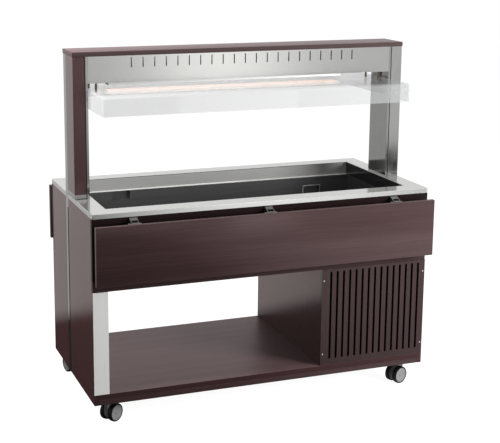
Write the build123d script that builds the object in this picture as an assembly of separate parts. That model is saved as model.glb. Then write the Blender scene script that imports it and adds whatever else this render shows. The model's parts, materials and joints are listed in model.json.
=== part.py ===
from build123d import *
import os
from math import asin, atan2, cos, hypot, sin

# Buffet trolley with a cold well, a lit canopy and two folding flaps.
# Millimetres, +Z up. The origin is on the floor under the middle of the trolley.
# The customers' front faces -Y. The left end is -X and the right end, with the cooling set, is +X.

# Carcass
body_width = 1470.0
body_depth = 700.0
board_thickness = 19.0
base_board_thickness = 22.0
niche_height = 423.0
compartment_width = 487.0
apron_height = 295.0
apron_recess = 2.0
liner_sheet = 1.5
board_edge_round = 1.5

# Columns and posts
column_width = 40.0
column_depth = 49.0
column_wall = 2.0
column_clearance = 0.5
column_groove_width = 1.2
column_groove_depth = 0.7
post_depth = 160.0
post_height = 577.0
post_liner_thickness = 10.0
post_liner_sheet = 1.5
post_liner_gap = 3.0
cladding_thickness = 16.0
collar_height = 16.0
collar_gap = 2.0
top_board_end_overhang = 2.0
top_board_side_overhang = 3.0

# Rim, pan ledge and cold well
rim_height = 20.0
rim_end_width = 75.0
rim_side_width = 76.0
rim_sheet = 2.0
rim_corner_round = 5.0
rim_top_round = 1.6
recess_depth = 56.0
ledge_width = 12.0
tub_depth = 158.0
tub_sheet = 1.5
tub_flange_width = 8.0
pocket_width = 80.0
pocket_height = 40.0
pocket_depth = 14.0
pocket_end_inset = 215.0
sensor_pocket_end_inset = 186.0
sensor_pocket_drop = 42.0
insulation_side = 36.0
insulation_clearance = 1.0
drain_end_inset = 100.0
drain_diameter = 32.0
drain_wall = 2.0
drain_flange_diameter = 60.0
drain_flange_height = 2.0
drain_drop = 60.0
pipe_hole_clearance = 1.0

# Slotted grilles and their screws
grille_thickness = 12.0
grille_slot_count = 15
grille_slot_width = 10.0
grille_slot_bottom_margin = 27.0
grille_slot_top_margin = 11.0
grille_slot_left_margin = 42.5
grille_slot_right_margin = 32.9
grille_screw_inset = 50.0
screw_head_diameter = 7.0
screw_head_height = 1.6
screw_head_round = 1.0
screw_shank_diameter = 4.0
screw_shank_length = 30.0
screw_hole_clearance = 0.1

# Lamp housing, lamp panel and guard
housing_height = 108.0
housing_sheet = 1.5
housing_slot_count = 21
housing_slot_pitch = 49.3
housing_slot_width = 4.5
housing_slot_height = 40.0
housing_slot_top_margin = 8.0
lamp_end_inset = 133.0
lamp_width = 70.0
lamp_thickness = 6.0
lamp_edge_round = 2.0
guard_depth = 574.0
guard_height = 78.0
guard_sheet = 5.0
guard_bend_round = 12.0
guard_end_clearance = 5.0
guard_drop = 27.0
standoff_diameter = 10.0
standoff_screw_diameter = 6.0
standoff_nut_diameter = 12.0
standoff_nut_height = 6.0
standoff_nut_tip_diameter = 7.2
standoff_nut_slope = 2.4
standoff_end_inset = 33.0
standoff_spread = 60.0
standoff_hole_clearance = 0.2

# Folding flaps and their hinges
flap_height = 240.0
flap_thickness = 19.0
flap_drop = 39.0
flap_stand_off = 60.0
flap_edge_round = 2.5
hinge_end_inset = 165.0
hinge_pin_below_edge = 5.0
hinge_pin_behind_flap = 13.0
hinge_pin_diameter = 8.0
hinge_pin_overhang = 9.0
hinge_pin_head_diameter = 11.0
hinge_pin_head_height = 3.0
hinge_pin_clearance = 0.05
bracket_width = 32.0
bracket_sheet = 3.0
bracket_ear_radius = 7.5
bracket_flange_height = 48.0
bracket_rim_gap = 2.0
bracket_web_back = 10.0
hinge_arm_side_gap = 1.0
hinge_arm_sheet = 3.0
hinge_arm_length = 60.0
hinge_arm_root = 13.0
hinge_barrel_radius = 6.5

# Twin-wheel casters
wheel_diameter = 75.0
wheel_width = 21.0
tyre_thickness = 6.0
tyre_round = 4.0
hub_dome = 2.0
hub_inset = 1.0
hub_fit = 0.02
wheel_axle_diameter = 8.0
wheel_axle_grip = 14.0
axle_running_clearance = 0.05
caster_body_width = 18.0
wheel_side_clearance = 1.0
caster_hood_inset = 4.5
caster_floor_gap = 14.0
caster_neck_length = 26.0
caster_trail = 20.0
caster_flange_diameter = 30.0
caster_flange_height = 11.7
caster_wheel_headroom = 3.0
swivel_gap = 0.3
race_diameter = 44.0
race_height = 4.0
caster_plate_size = 64.0
caster_plate_thickness = 4.0
caster_plate_round = 8.0
king_pin_diameter = 10.0
king_pin_length = 26.0
king_pin_clearance = 0.08
caster_end_inset = 71.0
caster_side_inset = 62.0
caster_turns = {"front_left": 33.0, "front_right": 199.0, "rear_left": 105.0, "rear_right": 205.0}

# Cooling set
condenser_width = 300.0
condenser_height = 270.0
condenser_depth = 50.0
condenser_core = 16.0
condenser_fin_count = 19
condenser_fin = 3.0
condenser_grille_gap = 20.0
shroud_sheet = 2.0
shroud_ring_length = 30.0
fan_diameter = 200.0
fan_ring_clearance = 12.0
fan_hub_diameter = 40.0
fan_hub_length = 24.0
fan_blade_count = 5
fan_blade_thickness = 2.5
fan_blade_chord = 62.0
fan_blade_root_chord = 31.0
fan_blade_tip_chord = 37.0
fan_blade_root_radius = 16.0
fan_blade_shoulder_radius = 80.0
fan_blade_pitch = 24.0
fan_shaft_diameter = 8.0
fan_shaft_length = 34.0
fan_shaft_clearance = 0.06
fan_motor_gap = 6.0
fan_motor_diameter = 80.0
fan_motor_length = 70.0
fan_motor_edge_round = 6.0
motor_foot_width = 46.0
motor_foot_length = 40.0
compressor_diameter = 168.0
compressor_height = 175.0
compressor_dome = 40.0
compressor_base_diameter = 118.0
compressor_seam_height = 12.0
compressor_seam_proud = 4.0
compressor_foot_size = 190.0
compressor_foot_thickness = 10.0
compressor_foot_round = 30.0
compressor_rear_gap = 96.0
stub_diameter = 12.0
stub_height = 16.0
stub_spread = 36.0
pipe_diameter = 8.0
pipe_bend = 24.0
pipe_rise = 60.0

# Control panel on the right end
panel_length = 150.0
panel_height = 64.0
panel_flange = 1.5
panel_lip = 6.0
panel_body_depth = 34.0
panel_centre_y = 200.0
panel_below_apron = 85.0
panel_board_clearance = 0.5
switch_width = 13.4
switch_height = 23.0
switch_face = 5.0
switch_root = 4.0
switch_root_height = 13.8
switch_dish = 1.5
switch_tilt = 8.0
switch_spacing = 26.0
switch_inset = 24.0
switch_side_clearance = 0.4
switch_swing_clearance = 1.3
switch_pin_diameter = 3.0
switch_pin_length = 2.0
switch_pin_clearance = 0.05
display_length = 58.0
display_height = 24.0
display_thickness = 3.0
display_inset = 46.0
display_clearance = 0.2

# Levels and faces that follow from the sizes above
half_width = body_width / 2
half_depth = body_depth / 2
post_thickness = column_depth + post_liner_gap + post_liner_thickness
post_half = post_depth / 2
post_inner = half_width - post_thickness
column_inner = half_width - column_depth
column_near = post_half - column_width
board_inner = half_width - board_thickness

wheel_radius = wheel_diameter / 2
caster_flange_z = wheel_diameter + caster_wheel_headroom
race_z = caster_flange_z + caster_flange_height + swivel_gap
caster_plate_z = race_z + race_height
body_bottom = caster_plate_z + caster_plate_thickness
deck_bottom = body_bottom + base_board_thickness
deck_top = deck_bottom + base_board_thickness
apron_bottom = deck_top + niche_height
ceiling_top = apron_bottom + board_thickness
rim_bottom = apron_bottom + apron_height
rim_top = rim_bottom + rim_height
cladding_bottom = rim_top + collar_gap + collar_height
post_top = rim_top + post_height

apron_face = half_depth - apron_recess
apron_back = apron_face - board_thickness
grille_back = half_depth - grille_thickness
compartment_left = half_width - compartment_width
compartment_middle = (compartment_left + board_thickness + board_inner) / 2

opening_x = half_width - rim_end_width
opening_y = half_depth - rim_side_width
ledge_top = rim_top - recess_depth
ledge_bottom = ledge_top - rim_sheet
tub_x = opening_x
tub_y = opening_y - ledge_width
tub_floor = ledge_bottom - tub_depth
pocket_spread = tub_x - pocket_end_inset
sensor_pocket_x = tub_x - sensor_pocket_end_inset
sensor_pocket_top = ledge_bottom - sensor_pocket_drop
drain_position = tub_x - drain_end_inset
tub_flange_bottom = ledge_bottom - tub_sheet

housing_bottom = post_top - housing_height
guard_top = housing_bottom - guard_drop
guard_bottom = guard_top - guard_height
guard_x = post_inner - guard_end_clearance

flap_top = rim_top - flap_drop
flap_outer = half_depth + flap_stand_off
flap_inner = flap_outer - flap_thickness
hinge_y = -(flap_inner - hinge_pin_behind_flap)
hinge_z = flap_top - hinge_pin_below_edge
hinge_spread = half_width - hinge_end_inset
hinge_places = (-hinge_spread, 0.0, hinge_spread)


def block(x0, x1, y0, y1, z0, z1):
    """A box between two opposite corners."""
    middle = Pos((x0 + x1) / 2, (y0 + y1) / 2, (z0 + z1) / 2)
    return middle * Box(x1 - x0, y1 - y0, z1 - z0)


def upright(face, z0, z1):
    """A flat outline in plan, raised from one level to another."""
    return Pos(0, 0, z0) * extrude(face, z1 - z0)


def along_x(face, x0, x1):
    """An outline drawn in (Y, Z), run along X."""
    return Pos(x0, 0, 0) * extrude(Plane.YZ * face, x1 - x0)


def rod(start, direction, diameter, length):
    """A round bar that starts at a point and runs along a direction."""
    return extrude(Plane(origin=start, z_dir=direction) * Circle(diameter / 2), length)


def dome_arc(radius, foot, rise):
    """Arc of a dome's profile from its foot to its crown, centred on the axis."""
    ball = (radius**2 + rise**2) / (2 * rise)
    half_angle = asin(radius / ball) / 2
    middle = (ball * sin(half_angle), foot + rise - ball * (1 - cos(half_angle)))
    return ThreePointArc((radius, foot), middle, (0, foot + rise))


def half_turn(shape):
    """The same shape turned half round the trolley's upright middle line."""
    return Rot(0, 0, 180) * shape


def write(name, *solids):
    """One node: a single solid, or a group of separate ones."""
    shape = solids[0] if len(solids) == 1 else Compound(children=[Part(s.wrapped) for s in solids])
    export_step(shape, f"parts/{name}.step")


def column_space(z0, z1, clearance):
    """The room that the left column takes in what it passes through."""
    return block(
        -half_width - clearance,
        -column_inner + clearance,
        column_near - clearance,
        post_half + clearance,
        z0,
        z1,
    )


def both_columns_cut(shape, z0, z1):
    """Notch a board or frame for the two columns."""
    left = column_space(z0, z1, column_clearance)
    return shape - left - half_turn(left)


def base_board(z0):
    """One of the two boards between the end boards."""
    board = block(-board_inner, board_inner, -half_depth, half_depth, z0, z0 + base_board_thickness)
    return both_columns_cut(board, z0, z0 + base_board_thickness)


def end_board(near, side, lower_step):
    """A left end board from the column out to the front (side -1) or the rear (side 1).

    Its free edge steps back behind the apron, and below that behind the strip or the grille.
    """
    outline = Polyline(
        (near, body_bottom),
        (side * half_depth, body_bottom),
        (side * half_depth, deck_top),
        (side * (half_depth - lower_step), deck_top),
        (side * (half_depth - lower_step), apron_bottom),
        (side * apron_back, apron_bottom),
        (side * apron_back, rim_bottom),
        (near, rim_bottom),
        close=True,
    )
    return along_x(make_face(outline), -half_width, -board_inner)


def column():
    """The left column: a square-edged steel tube from the base to the top board."""
    middle = Pos(-half_width + column_depth / 2, column_near + column_width / 2)
    outside = middle * Rectangle(column_depth, column_width)
    inside = middle * Rectangle(column_depth - 2 * column_wall, column_width - 2 * column_wall)
    tube = upright(outside - inside, body_bottom, post_top)
    kept = middle * Rectangle(
        column_depth - 2 * column_groove_depth, column_width - 2 * column_groove_depth
    )
    groove_z = cladding_bottom
    groove = upright(outside - kept, groove_z, groove_z + column_groove_width)
    return tube - groove


def wall_liner():
    """The left wall's steel skin: inner face with a strip folded over each edge."""
    x_out = -half_width
    x_in = -post_inner
    outside = Polyline(
        (x_out, -half_depth),
        (x_in, -half_depth),
        (x_in, half_depth),
        (x_out, half_depth),
        (x_out, half_depth - liner_sheet),
        (x_in - liner_sheet, half_depth - liner_sheet),
        (x_in - liner_sheet, -half_depth + liner_sheet),
        (x_out, -half_depth + liner_sheet),
        close=True,
    )
    return upright(make_face(outside), deck_top, apron_bottom)


def apron():
    """The front apron under the rim."""
    board = block(-half_width, half_width, -apron_face, -apron_back, apron_bottom, rim_bottom)
    return fillet(board.edges().filter_by(Axis.X).group_by(Axis.Y)[0], board_edge_round)


def worktop_core():
    """The board that fills the folded rim."""
    hole = Rectangle(2 * (opening_x + rim_sheet), 2 * (opening_y + rim_sheet))
    core = upright(rim_hollow() - hole, rim_bottom, rim_top - rim_sheet)
    return both_columns_cut(core, rim_bottom, rim_top)


def rim_hollow():
    """The outline inside the rim's folded skirt."""
    return RectangleRounded(
        body_width - 2 * rim_sheet, body_depth - 2 * rim_sheet, rim_corner_round - rim_sheet
    )


def top_frame():
    """Folded stainless rim: skirt, top, recess walls and, along the sides, the pans' ledges."""
    slab = upright(Rectangle(body_width, body_depth), rim_bottom, rim_top)
    slab = fillet(slab.edges().filter_by(Axis.Z), rim_corner_round)
    slab = fillet(slab.faces().sort_by(Axis.Z)[-1].outer_wire().edges(), rim_top_round)
    skirt = slab - upright(rim_hollow(), rim_bottom, rim_top - rim_sheet)
    wall_outside = Rectangle(2 * (opening_x + rim_sheet), 2 * (opening_y + rim_sheet))
    wall_inside = Rectangle(2 * opening_x, 2 * opening_y)
    wall = upright(wall_outside - wall_inside, ledge_top, rim_top)
    ledge = upright(wall_outside - Rectangle(2 * tub_x, 2 * tub_y), ledge_bottom, ledge_top)
    frame = skirt - upright(wall_inside, ledge_top, rim_top) + wall + ledge
    return both_columns_cut(frame, ledge_bottom, rim_top)


def tub_space(grow):
    """The well's inside, or with growth its outside, pockets included."""
    space = block(-tub_x - grow, tub_x + grow, -tub_y - grow, tub_y + grow, tub_floor - grow, ledge_bottom)
    for x, top in ((-pocket_spread, ledge_bottom), (sensor_pocket_x, sensor_pocket_top)):
        pocket = block(
            x - pocket_width / 2 - grow,
            x + pocket_width / 2 + grow,
            0,
            tub_y + pocket_depth + grow,
            top - pocket_height - grow,
            min(top + grow, ledge_bottom),
        )
        space = space + pocket + half_turn(pocket)
    return space


def well_tub():
    """Pressed cold well with a flange that hangs under the ledge."""
    reach = pocket_depth + tub_sheet + tub_flange_width
    x = min(tub_x + reach, column_inner - insulation_clearance)
    flange = upright(Rectangle(2 * x, 2 * (tub_y + reach)), tub_flange_bottom, ledge_bottom)
    tub = tub_space(tub_sheet) + flange - tub_space(0)
    return tub - drain_hole(tub_floor - tub_sheet, tub_floor)


def drain_hole(z0, z1):
    """Clear hole for the drain pipe between two levels."""
    hole = Pos(drain_position, 0) * Circle(drain_diameter / 2 + pipe_hole_clearance)
    return upright(hole, z0, z1)


def well_insulation():
    """Foam block round the well, on the ceiling board."""
    x = min(tub_x + tub_sheet + insulation_side, column_inner - insulation_clearance)
    y = tub_y + tub_sheet + pocket_depth + insulation_side
    y = min(y, apron_back - insulation_clearance)
    foam = block(-x, x, -y, y, ceiling_top, tub_flange_bottom)
    return foam - tub_space(tub_sheet) - drain_hole(ceiling_top, tub_floor)


def drain_pipe():
    """Drain flange on the well's floor and its pipe down into the compartment."""
    at = Pos(drain_position, 0)
    bore = Circle(drain_diameter / 2 - drain_wall)
    pipe = upright(at * (Circle(drain_diameter / 2) - bore), apron_bottom - drain_drop, tub_floor)
    flange = upright(
        at * (Circle(drain_flange_diameter / 2) - bore), tub_floor, tub_floor + drain_flange_height
    )
    return pipe + flange


def niche_ceiling():
    """Board over the niche and the compartment, under the insulation."""
    board = block(-board_inner, board_inner, -apron_back, apron_back, apron_bottom, ceiling_top)
    board = both_columns_cut(board, apron_bottom, ceiling_top)
    pipe_hole = Pos(suction_x, suction_end_y) * Circle(pipe_diameter / 2 + pipe_hole_clearance)
    return board - drain_hole(apron_bottom, ceiling_top) - upright(pipe_hole, apron_bottom, ceiling_top)


def compartment_wall():
    """Upright board between the niche and the cooling set."""
    x = compartment_left
    board = block(x, x + board_thickness, -grille_back, grille_back, deck_top, apron_bottom)
    return cut_screw_holes(board)


def screw_places():
    """The four screw positions of a grille, as (X, Z)."""
    edges = (compartment_left + board_thickness / 2, half_width - board_thickness / 2)
    levels = (deck_top + grille_screw_inset, apron_bottom - grille_screw_inset)
    return [(x, z) for x in edges for z in levels]


def cut_screw_holes(shape):
    """Drill a grille, or a board behind one, for the grilles' screws."""
    hole = screw_shank_diameter + 2 * screw_hole_clearance
    for x, z in screw_places():
        front = rod((x, -half_depth, z), (0, 1, 0), hole, screw_shank_length + screw_hole_clearance)
        shape = shape - front - mirror(front, Plane.XZ)
    return shape


def grille():
    """Front grille: a board with upright round-ended slots."""
    panel = block(compartment_left, half_width, -half_depth, -grille_back, deck_top, apron_bottom)
    slot_low = deck_top + grille_slot_bottom_margin
    slot_high = apron_bottom - grille_slot_top_margin
    slot = SlotOverall(slot_high - slot_low, grille_slot_width, rotation=90)
    first = compartment_left + grille_slot_left_margin
    pitch = (half_width - grille_slot_right_margin - first) / (grille_slot_count - 1)
    for number in range(grille_slot_count):
        centre = (first + number * pitch, -grille_back, (slot_low + slot_high) / 2)
        plane = Plane(origin=centre, z_dir=(0, -1, 0), x_dir=(1, 0, 0))
        panel -= extrude(plane * slot, grille_thickness)
    return cut_screw_holes(panel)


def grille_screw(x, z):
    """A pan-head screw through the front grille into the board's edge."""
    head = rod((x, -half_depth - screw_head_height, z), (0, 1, 0), screw_head_diameter, screw_head_height)
    dome_edge = head.edges().filter_by(GeomType.CIRCLE).sort_by(Axis.Y)[0]
    head = fillet(dome_edge, screw_head_round)
    return head + rod((x, -half_depth, z), (0, 1, 0), screw_shank_diameter, screw_shank_length)


def post_cladding():
    """Wood angle on the left post: outer side and front."""
    outline = Polyline(
        (-half_width, -post_half),
        (-column_inner, -post_half),
        (-column_inner, -post_half + cladding_thickness),
        (-half_width + cladding_thickness, -post_half + cladding_thickness),
        (-half_width + cladding_thickness, column_near),
        (-half_width, column_near),
        close=True,
    )
    angle = upright(make_face(outline), cladding_bottom, post_top)
    corner = angle.edges().filter_by(Axis.Z).sort_by_distance((-half_width, -post_half, rim_top))[0]
    return fillet(corner, board_edge_round)


def post_collar():
    """Steel band under the left post's cladding, a shadow gap above the rim."""
    outline = Rectangle(column_depth, post_depth - column_width, align=(Align.MIN, Align.MIN))
    return upright(Pos(-half_width, -post_half) * outline, rim_top + collar_gap, cladding_bottom)


def post_liner():
    """Polished steel pan on the left post's inner side, open towards the column."""
    x_face = -post_inner
    x_back = x_face - post_liner_thickness
    outline = Polyline(
        (x_back, -post_half),
        (x_face, -post_half),
        (x_face, post_half),
        (x_back, post_half),
        (x_back, post_half - post_liner_sheet),
        (x_face - post_liner_sheet, post_half - post_liner_sheet),
        (x_face - post_liner_sheet, -post_half + post_liner_sheet),
        (x_back, -post_half + post_liner_sheet),
        close=True,
    )
    return upright(make_face(outline), rim_top, post_top)


def top_board():
    """Board across both posts, over the lamp housing."""
    x = half_width + top_board_end_overhang
    y = post_half + top_board_side_overhang
    board = block(-x, x, -y, y, post_top, post_top + board_thickness)
    edges = board.edges().group_by(Axis.Z)[-1] + board.edges().group_by(Axis.Z)[0]
    return fillet(edges, board_edge_round)


def lamp_housing():
    """Folded steel trough between the posts, slotted along both long sides, with a web down its middle."""
    outside = block(-post_inner, post_inner, -post_half, post_half, housing_bottom, post_top)
    inside = block(
        -post_inner + housing_sheet,
        post_inner - housing_sheet,
        -post_half + housing_sheet,
        post_half - housing_sheet,
        housing_bottom + housing_sheet,
        post_top,
    )
    trough = outside - inside
    high = post_top - housing_slot_top_margin
    for number in range(housing_slot_count):
        x = (number - (housing_slot_count - 1) / 2) * housing_slot_pitch
        trough -= block(
            x - housing_slot_width / 2,
            x + housing_slot_width / 2,
            -post_half,
            post_half,
            high - housing_slot_height,
            high,
        )
    half_web = housing_sheet / 2
    return trough + block(-post_inner, post_inner, -half_web, half_web, housing_bottom, post_top)


def lamp_panel():
    """Flat lamp under the housing."""
    x = post_inner - lamp_end_inset
    y = lamp_width / 2
    lamp = block(-x, x, -y, y, housing_bottom - lamp_thickness, housing_bottom)
    return fillet(lamp.edges().group_by(Axis.Z)[0], lamp_edge_round)


def standoff_places():
    """Where the guard hangs, as (X, Y)."""
    x = guard_x - standoff_end_inset
    return [(sx * x, sy * standoff_spread) for sx in (-1, 1) for sy in (-1, 1)]


def round_tray(box, radius):
    """Round a box's upright edges and those of its top."""
    return fillet(box.edges().filter_by(Axis.Z) + box.edges().group_by(Axis.Z)[-1], radius)


def guard():
    """Clear guard: one sheet bent into an open-bottomed tray."""
    y = guard_depth / 2
    outside = block(-guard_x, guard_x, -y, y, guard_bottom, guard_top)
    outside = round_tray(outside, guard_bend_round)
    inner_x = guard_x - guard_sheet
    inner_y = y - guard_sheet
    inside = block(-inner_x, inner_x, -inner_y, inner_y, guard_bottom, guard_top - guard_sheet)
    tray = outside - round_tray(inside, guard_bend_round - guard_sheet)
    for x, y in standoff_places():
        hole = Circle(standoff_screw_diameter / 2 + standoff_hole_clearance)
        tray -= upright(Pos(x, y) * hole, guard_top - guard_sheet, guard_top)
    return tray


def standoff(x, y):
    """Spacer, screw and cap nut that hang one corner of the guard."""
    nut_top = guard_top - guard_sheet
    profile = Polyline(
        (0, nut_top - standoff_nut_height),
        (standoff_nut_tip_diameter / 2, nut_top - standoff_nut_height),
        (standoff_nut_diameter / 2, nut_top - standoff_nut_height + standoff_nut_slope),
        (standoff_nut_diameter / 2, nut_top),
        (standoff_screw_diameter / 2, nut_top),
        (standoff_screw_diameter / 2, guard_top),
        (standoff_diameter / 2, guard_top),
        (standoff_diameter / 2, housing_bottom),
        (0, housing_bottom),
        close=True,
    )
    return Pos(x, y) * revolve(Plane.XZ * make_face(profile), Axis.Z)


def flap():
    """Front flap, hanging."""
    board = block(-half_width, half_width, -flap_outer, -flap_inner, flap_top - flap_height, flap_top)
    return fillet(board.edges().filter_by(Axis.Y) + board.edges().group_by(Axis.Y)[0], flap_edge_round)


def hinge_bracket(x):
    """Folded bracket on the front apron: flange, sloping web and two ears for the pin."""
    top = rim_bottom - bracket_rim_gap
    low = top - bracket_flange_height
    wall = -apron_face
    pin = Pos(hinge_y, hinge_z)
    ear = make_hull((pin * Circle(bracket_ear_radius)).edges() + Line((wall, low), (wall, top)).edges())
    web_end_y = hinge_y + bracket_web_back
    fall_angle = upper_tangent_angle(wall - hinge_y, top - hinge_z, bracket_ear_radius)
    slope = sin(fall_angle) / cos(fall_angle)
    drop = bracket_sheet / cos(fall_angle)
    web_end_z = top - (wall - web_end_y) * slope
    web = Polyline(
        (wall, top),
        (web_end_y, web_end_z),
        (web_end_y + bracket_sheet * sin(fall_angle), web_end_z - bracket_sheet * cos(fall_angle)),
        (wall, top - drop),
        close=True,
    )
    flange = Polyline(
        (wall, top),
        (wall - bracket_sheet, top - bracket_sheet * slope),
        (wall - bracket_sheet, low),
        (wall, low),
        close=True,
    )
    half = bracket_width / 2
    bore = pin * Circle(hinge_pin_diameter / 2 + hinge_pin_clearance)
    bracket = along_x(make_face(web), x - half, x + half) + along_x(make_face(flange), x - half, x + half)
    bracket += along_x(ear - bore, x - half, x - half + bracket_sheet)
    bracket += along_x(ear - bore, x + half - bracket_sheet, x + half)
    return bracket


def upper_tangent_angle(run, rise, radius):
    """Fall of the line from a point at (run, rise) down to the top of a circle at the origin."""
    distance = hypot(run, rise)
    return atan2(rise, run) - atan2(radius, (distance**2 - radius**2) ** 0.5)


def hinge_pin(x):
    """Headed pin through the bracket's ears."""
    left = x - bracket_width / 2 - hinge_pin_overhang
    length = bracket_width + 2 * hinge_pin_overhang
    pin = rod((left, hinge_y, hinge_z), (1, 0, 0), hinge_pin_diameter, length)
    start = (left - hinge_pin_head_height, hinge_y, hinge_z)
    return pin + rod(start, (1, 0, 0), hinge_pin_head_diameter, hinge_pin_head_height)


def hinge_arm(x):
    """Leaf on the back of the flap, with a barrel round the pin."""
    pin = Pos(hinge_y, hinge_z)
    back = -flap_inner
    root = Line((back, hinge_z + hinge_arm_sheet), (back, hinge_z - hinge_arm_root))
    neck = make_hull((pin * Circle(hinge_barrel_radius)).edges() + root.edges())
    leaf = Pos(back, hinge_z) * Rectangle(hinge_arm_sheet, hinge_arm_length, align=(Align.MIN, Align.MAX))
    outline = neck + leaf - pin * Circle(hinge_pin_diameter / 2 + hinge_pin_clearance)
    half = bracket_width / 2 - bracket_sheet - hinge_arm_side_gap
    return along_x(outline, x - half, x + half)


def caster_plate():
    """Fixed plate, race and king pin of a caster, with its stem at the origin."""
    outline = RectangleRounded(caster_plate_size, caster_plate_size, caster_plate_round)
    plate = upright(outline, caster_plate_z, body_bottom)
    race = upright(Circle(race_diameter / 2), race_z, caster_plate_z)
    pin_low = caster_flange_z + caster_flange_height - king_pin_length
    pin = upright(Circle(king_pin_diameter / 2), pin_low, race_z)
    return plate, race, pin


def caster_body():
    """Swivelling body: a round hood between the wheels, a neck and a flange under the race."""
    hood_radius = wheel_radius - caster_hood_inset
    hood = Pos(caster_trail, wheel_radius) * Circle(hood_radius)
    hood -= Pos(caster_trail, 0) * Rectangle(wheel_diameter, 2 * caster_floor_gap)
    neck = Rectangle(caster_neck_length, caster_flange_z - wheel_radius, align=(Align.CENTER, Align.MIN))
    side = hood + Pos(0, wheel_radius) * neck
    body = extrude(Plane.XZ * side, caster_body_width / 2, both=True)
    flange_top = caster_flange_z + caster_flange_height
    body += upright(Circle(caster_flange_diameter / 2), caster_flange_z, flange_top)
    pin_bore = Circle(king_pin_diameter / 2 + king_pin_clearance)
    body -= upright(pin_bore, flange_top - king_pin_length - swivel_gap, flange_top)
    axle_bore = wheel_axle_diameter + 2 * axle_running_clearance
    start = (caster_trail, -caster_body_width / 2, wheel_radius)
    return body - rod(start, (0, 1, 0), axle_bore, caster_body_width)


def wheel_seat(side):
    """Where a wheel's inner face lies, with its axis outwards."""
    y = side * (caster_body_width / 2 + wheel_side_clearance)
    return Plane(origin=(caster_trail, y, wheel_radius), z_dir=(0, side, 0))


def tyre(side):
    """Black tread ring with rounded shoulders."""
    inner = wheel_radius - tyre_thickness
    ring = extrude(Circle(wheel_radius) - Circle(inner), wheel_width)
    rims = ring.edges().filter_by(GeomType.CIRCLE).group_by(SortBy.RADIUS)[-1]
    return wheel_seat(side) * fillet(rims, tyre_round)


def hub(side):
    """Grey hub with a domed closed face and a blind seat for the axle."""
    radius = wheel_radius - tyre_thickness - hub_fit
    seat = wheel_axle_diameter / 2 + hub_fit
    rim = wheel_width - hub_inset - hub_dome
    face = Polyline(
        (0, rim + hub_dome),
        (0, wheel_axle_grip),
        (seat, wheel_axle_grip),
        (seat, 0),
        (radius, 0),
        (radius, rim),
    )
    dome = dome_arc(radius, rim, hub_dome)
    profile = make_face(face.edges() + dome.edges())
    return wheel_seat(side) * revolve(Plane.XZ * profile, Axis.Z)


def wheel_axle():
    """Axle that joins the two hubs and turns in the body."""
    reach = caster_body_width / 2 + wheel_side_clearance + wheel_axle_grip
    return rod((caster_trail, -reach, wheel_radius), (0, 1, 0), wheel_axle_diameter, 2 * reach)


def caster_spot(name):
    """A caster's stem place under the base."""
    side_x = 1 if name.endswith("right") else -1
    side_y = 1 if name.startswith("rear") else -1
    return Pos(side_x * (half_width - caster_end_inset), side_y * (half_depth - caster_side_inset))


# Cooling set places
condenser_front = -(grille_back - condenser_grille_gap)
condenser_back = condenser_front + condenser_depth
condenser_top = deck_top + condenser_height
fan_z = deck_top + condenser_height / 2
shroud_back = condenser_back + shroud_sheet
fan_middle = shroud_back + shroud_ring_length / 2
motor_front = fan_middle + fan_hub_length / 2 + fan_motor_gap
compressor_y = grille_back - compressor_rear_gap - compressor_diameter / 2
compressor_top = deck_top + compressor_foot_thickness + compressor_height
stub_top = compressor_top + stub_height
suction_x = compartment_middle + stub_spread
suction_end_y = compressor_y - pipe_rise
discharge_x = compartment_middle - stub_spread


def condenser():
    """Finned block with a core between two combs of fins."""
    half = condenser_width / 2
    x = compartment_middle
    solid = block(x - half, x + half, condenser_front, condenser_back, deck_top, condenser_top)
    pitch = (condenser_width - condenser_fin) / (condenser_fin_count - 1)
    cut = (condenser_depth - condenser_core) / 2
    low = deck_top + 2 * condenser_fin
    high = condenser_top - 2 * condenser_fin
    for number in range(condenser_fin_count - 1):
        x0 = x - half + condenser_fin + number * pitch
        x1 = x0 + pitch - condenser_fin
        solid -= block(x0, x1, condenser_front, condenser_front + cut, low, high)
        solid -= block(x0, x1, condenser_back - cut, condenser_back, low, high)
    return solid


def fan_shroud():
    """Plate behind the condenser with a ring round the fan."""
    half = condenser_width / 2
    ring_inside = fan_diameter / 2 + fan_ring_clearance
    x = compartment_middle
    plate = block(x - half, x + half, condenser_back, shroud_back, deck_top, condenser_top)
    centre = (x, condenser_back, fan_z)
    outer = 2 * (ring_inside + shroud_sheet)
    plate += rod(centre, (0, 1, 0), outer, shroud_sheet + shroud_ring_length)
    return plate - rod(centre, (0, 1, 0), 2 * ring_inside, shroud_sheet + shroud_ring_length)


def fan_blade():
    """One flat blade, pitched, growing wider towards its tip."""
    tip = fan_diameter / 2
    outline = Polyline(
        (fan_blade_root_radius, -fan_blade_root_chord / 2),
        (fan_blade_shoulder_radius, -fan_blade_chord / 2),
        (tip, -fan_blade_tip_chord / 2),
        (tip, fan_blade_tip_chord / 2),
        (fan_blade_shoulder_radius, fan_blade_chord / 2),
        (fan_blade_root_radius, fan_blade_root_chord / 2),
        close=True,
    )
    blade = extrude(make_face(outline), fan_blade_thickness / 2, both=True)
    return Rot(fan_blade_pitch, 0, 0) * blade


def fan_blades():
    """Fan wheel with its shaft, which turns in the motor."""
    wheel = extrude(Circle(fan_hub_diameter / 2), fan_hub_length / 2, both=True)
    for number in range(fan_blade_count):
        wheel += Rot(0, 0, 360 / fan_blade_count * number) * fan_blade()
    wheel += extrude(Circle(fan_shaft_diameter / 2), fan_hub_length / 2 + fan_motor_gap + fan_shaft_length)
    return Plane(origin=(compartment_middle, fan_middle, fan_z), z_dir=(0, 1, 0)) * wheel


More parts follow.
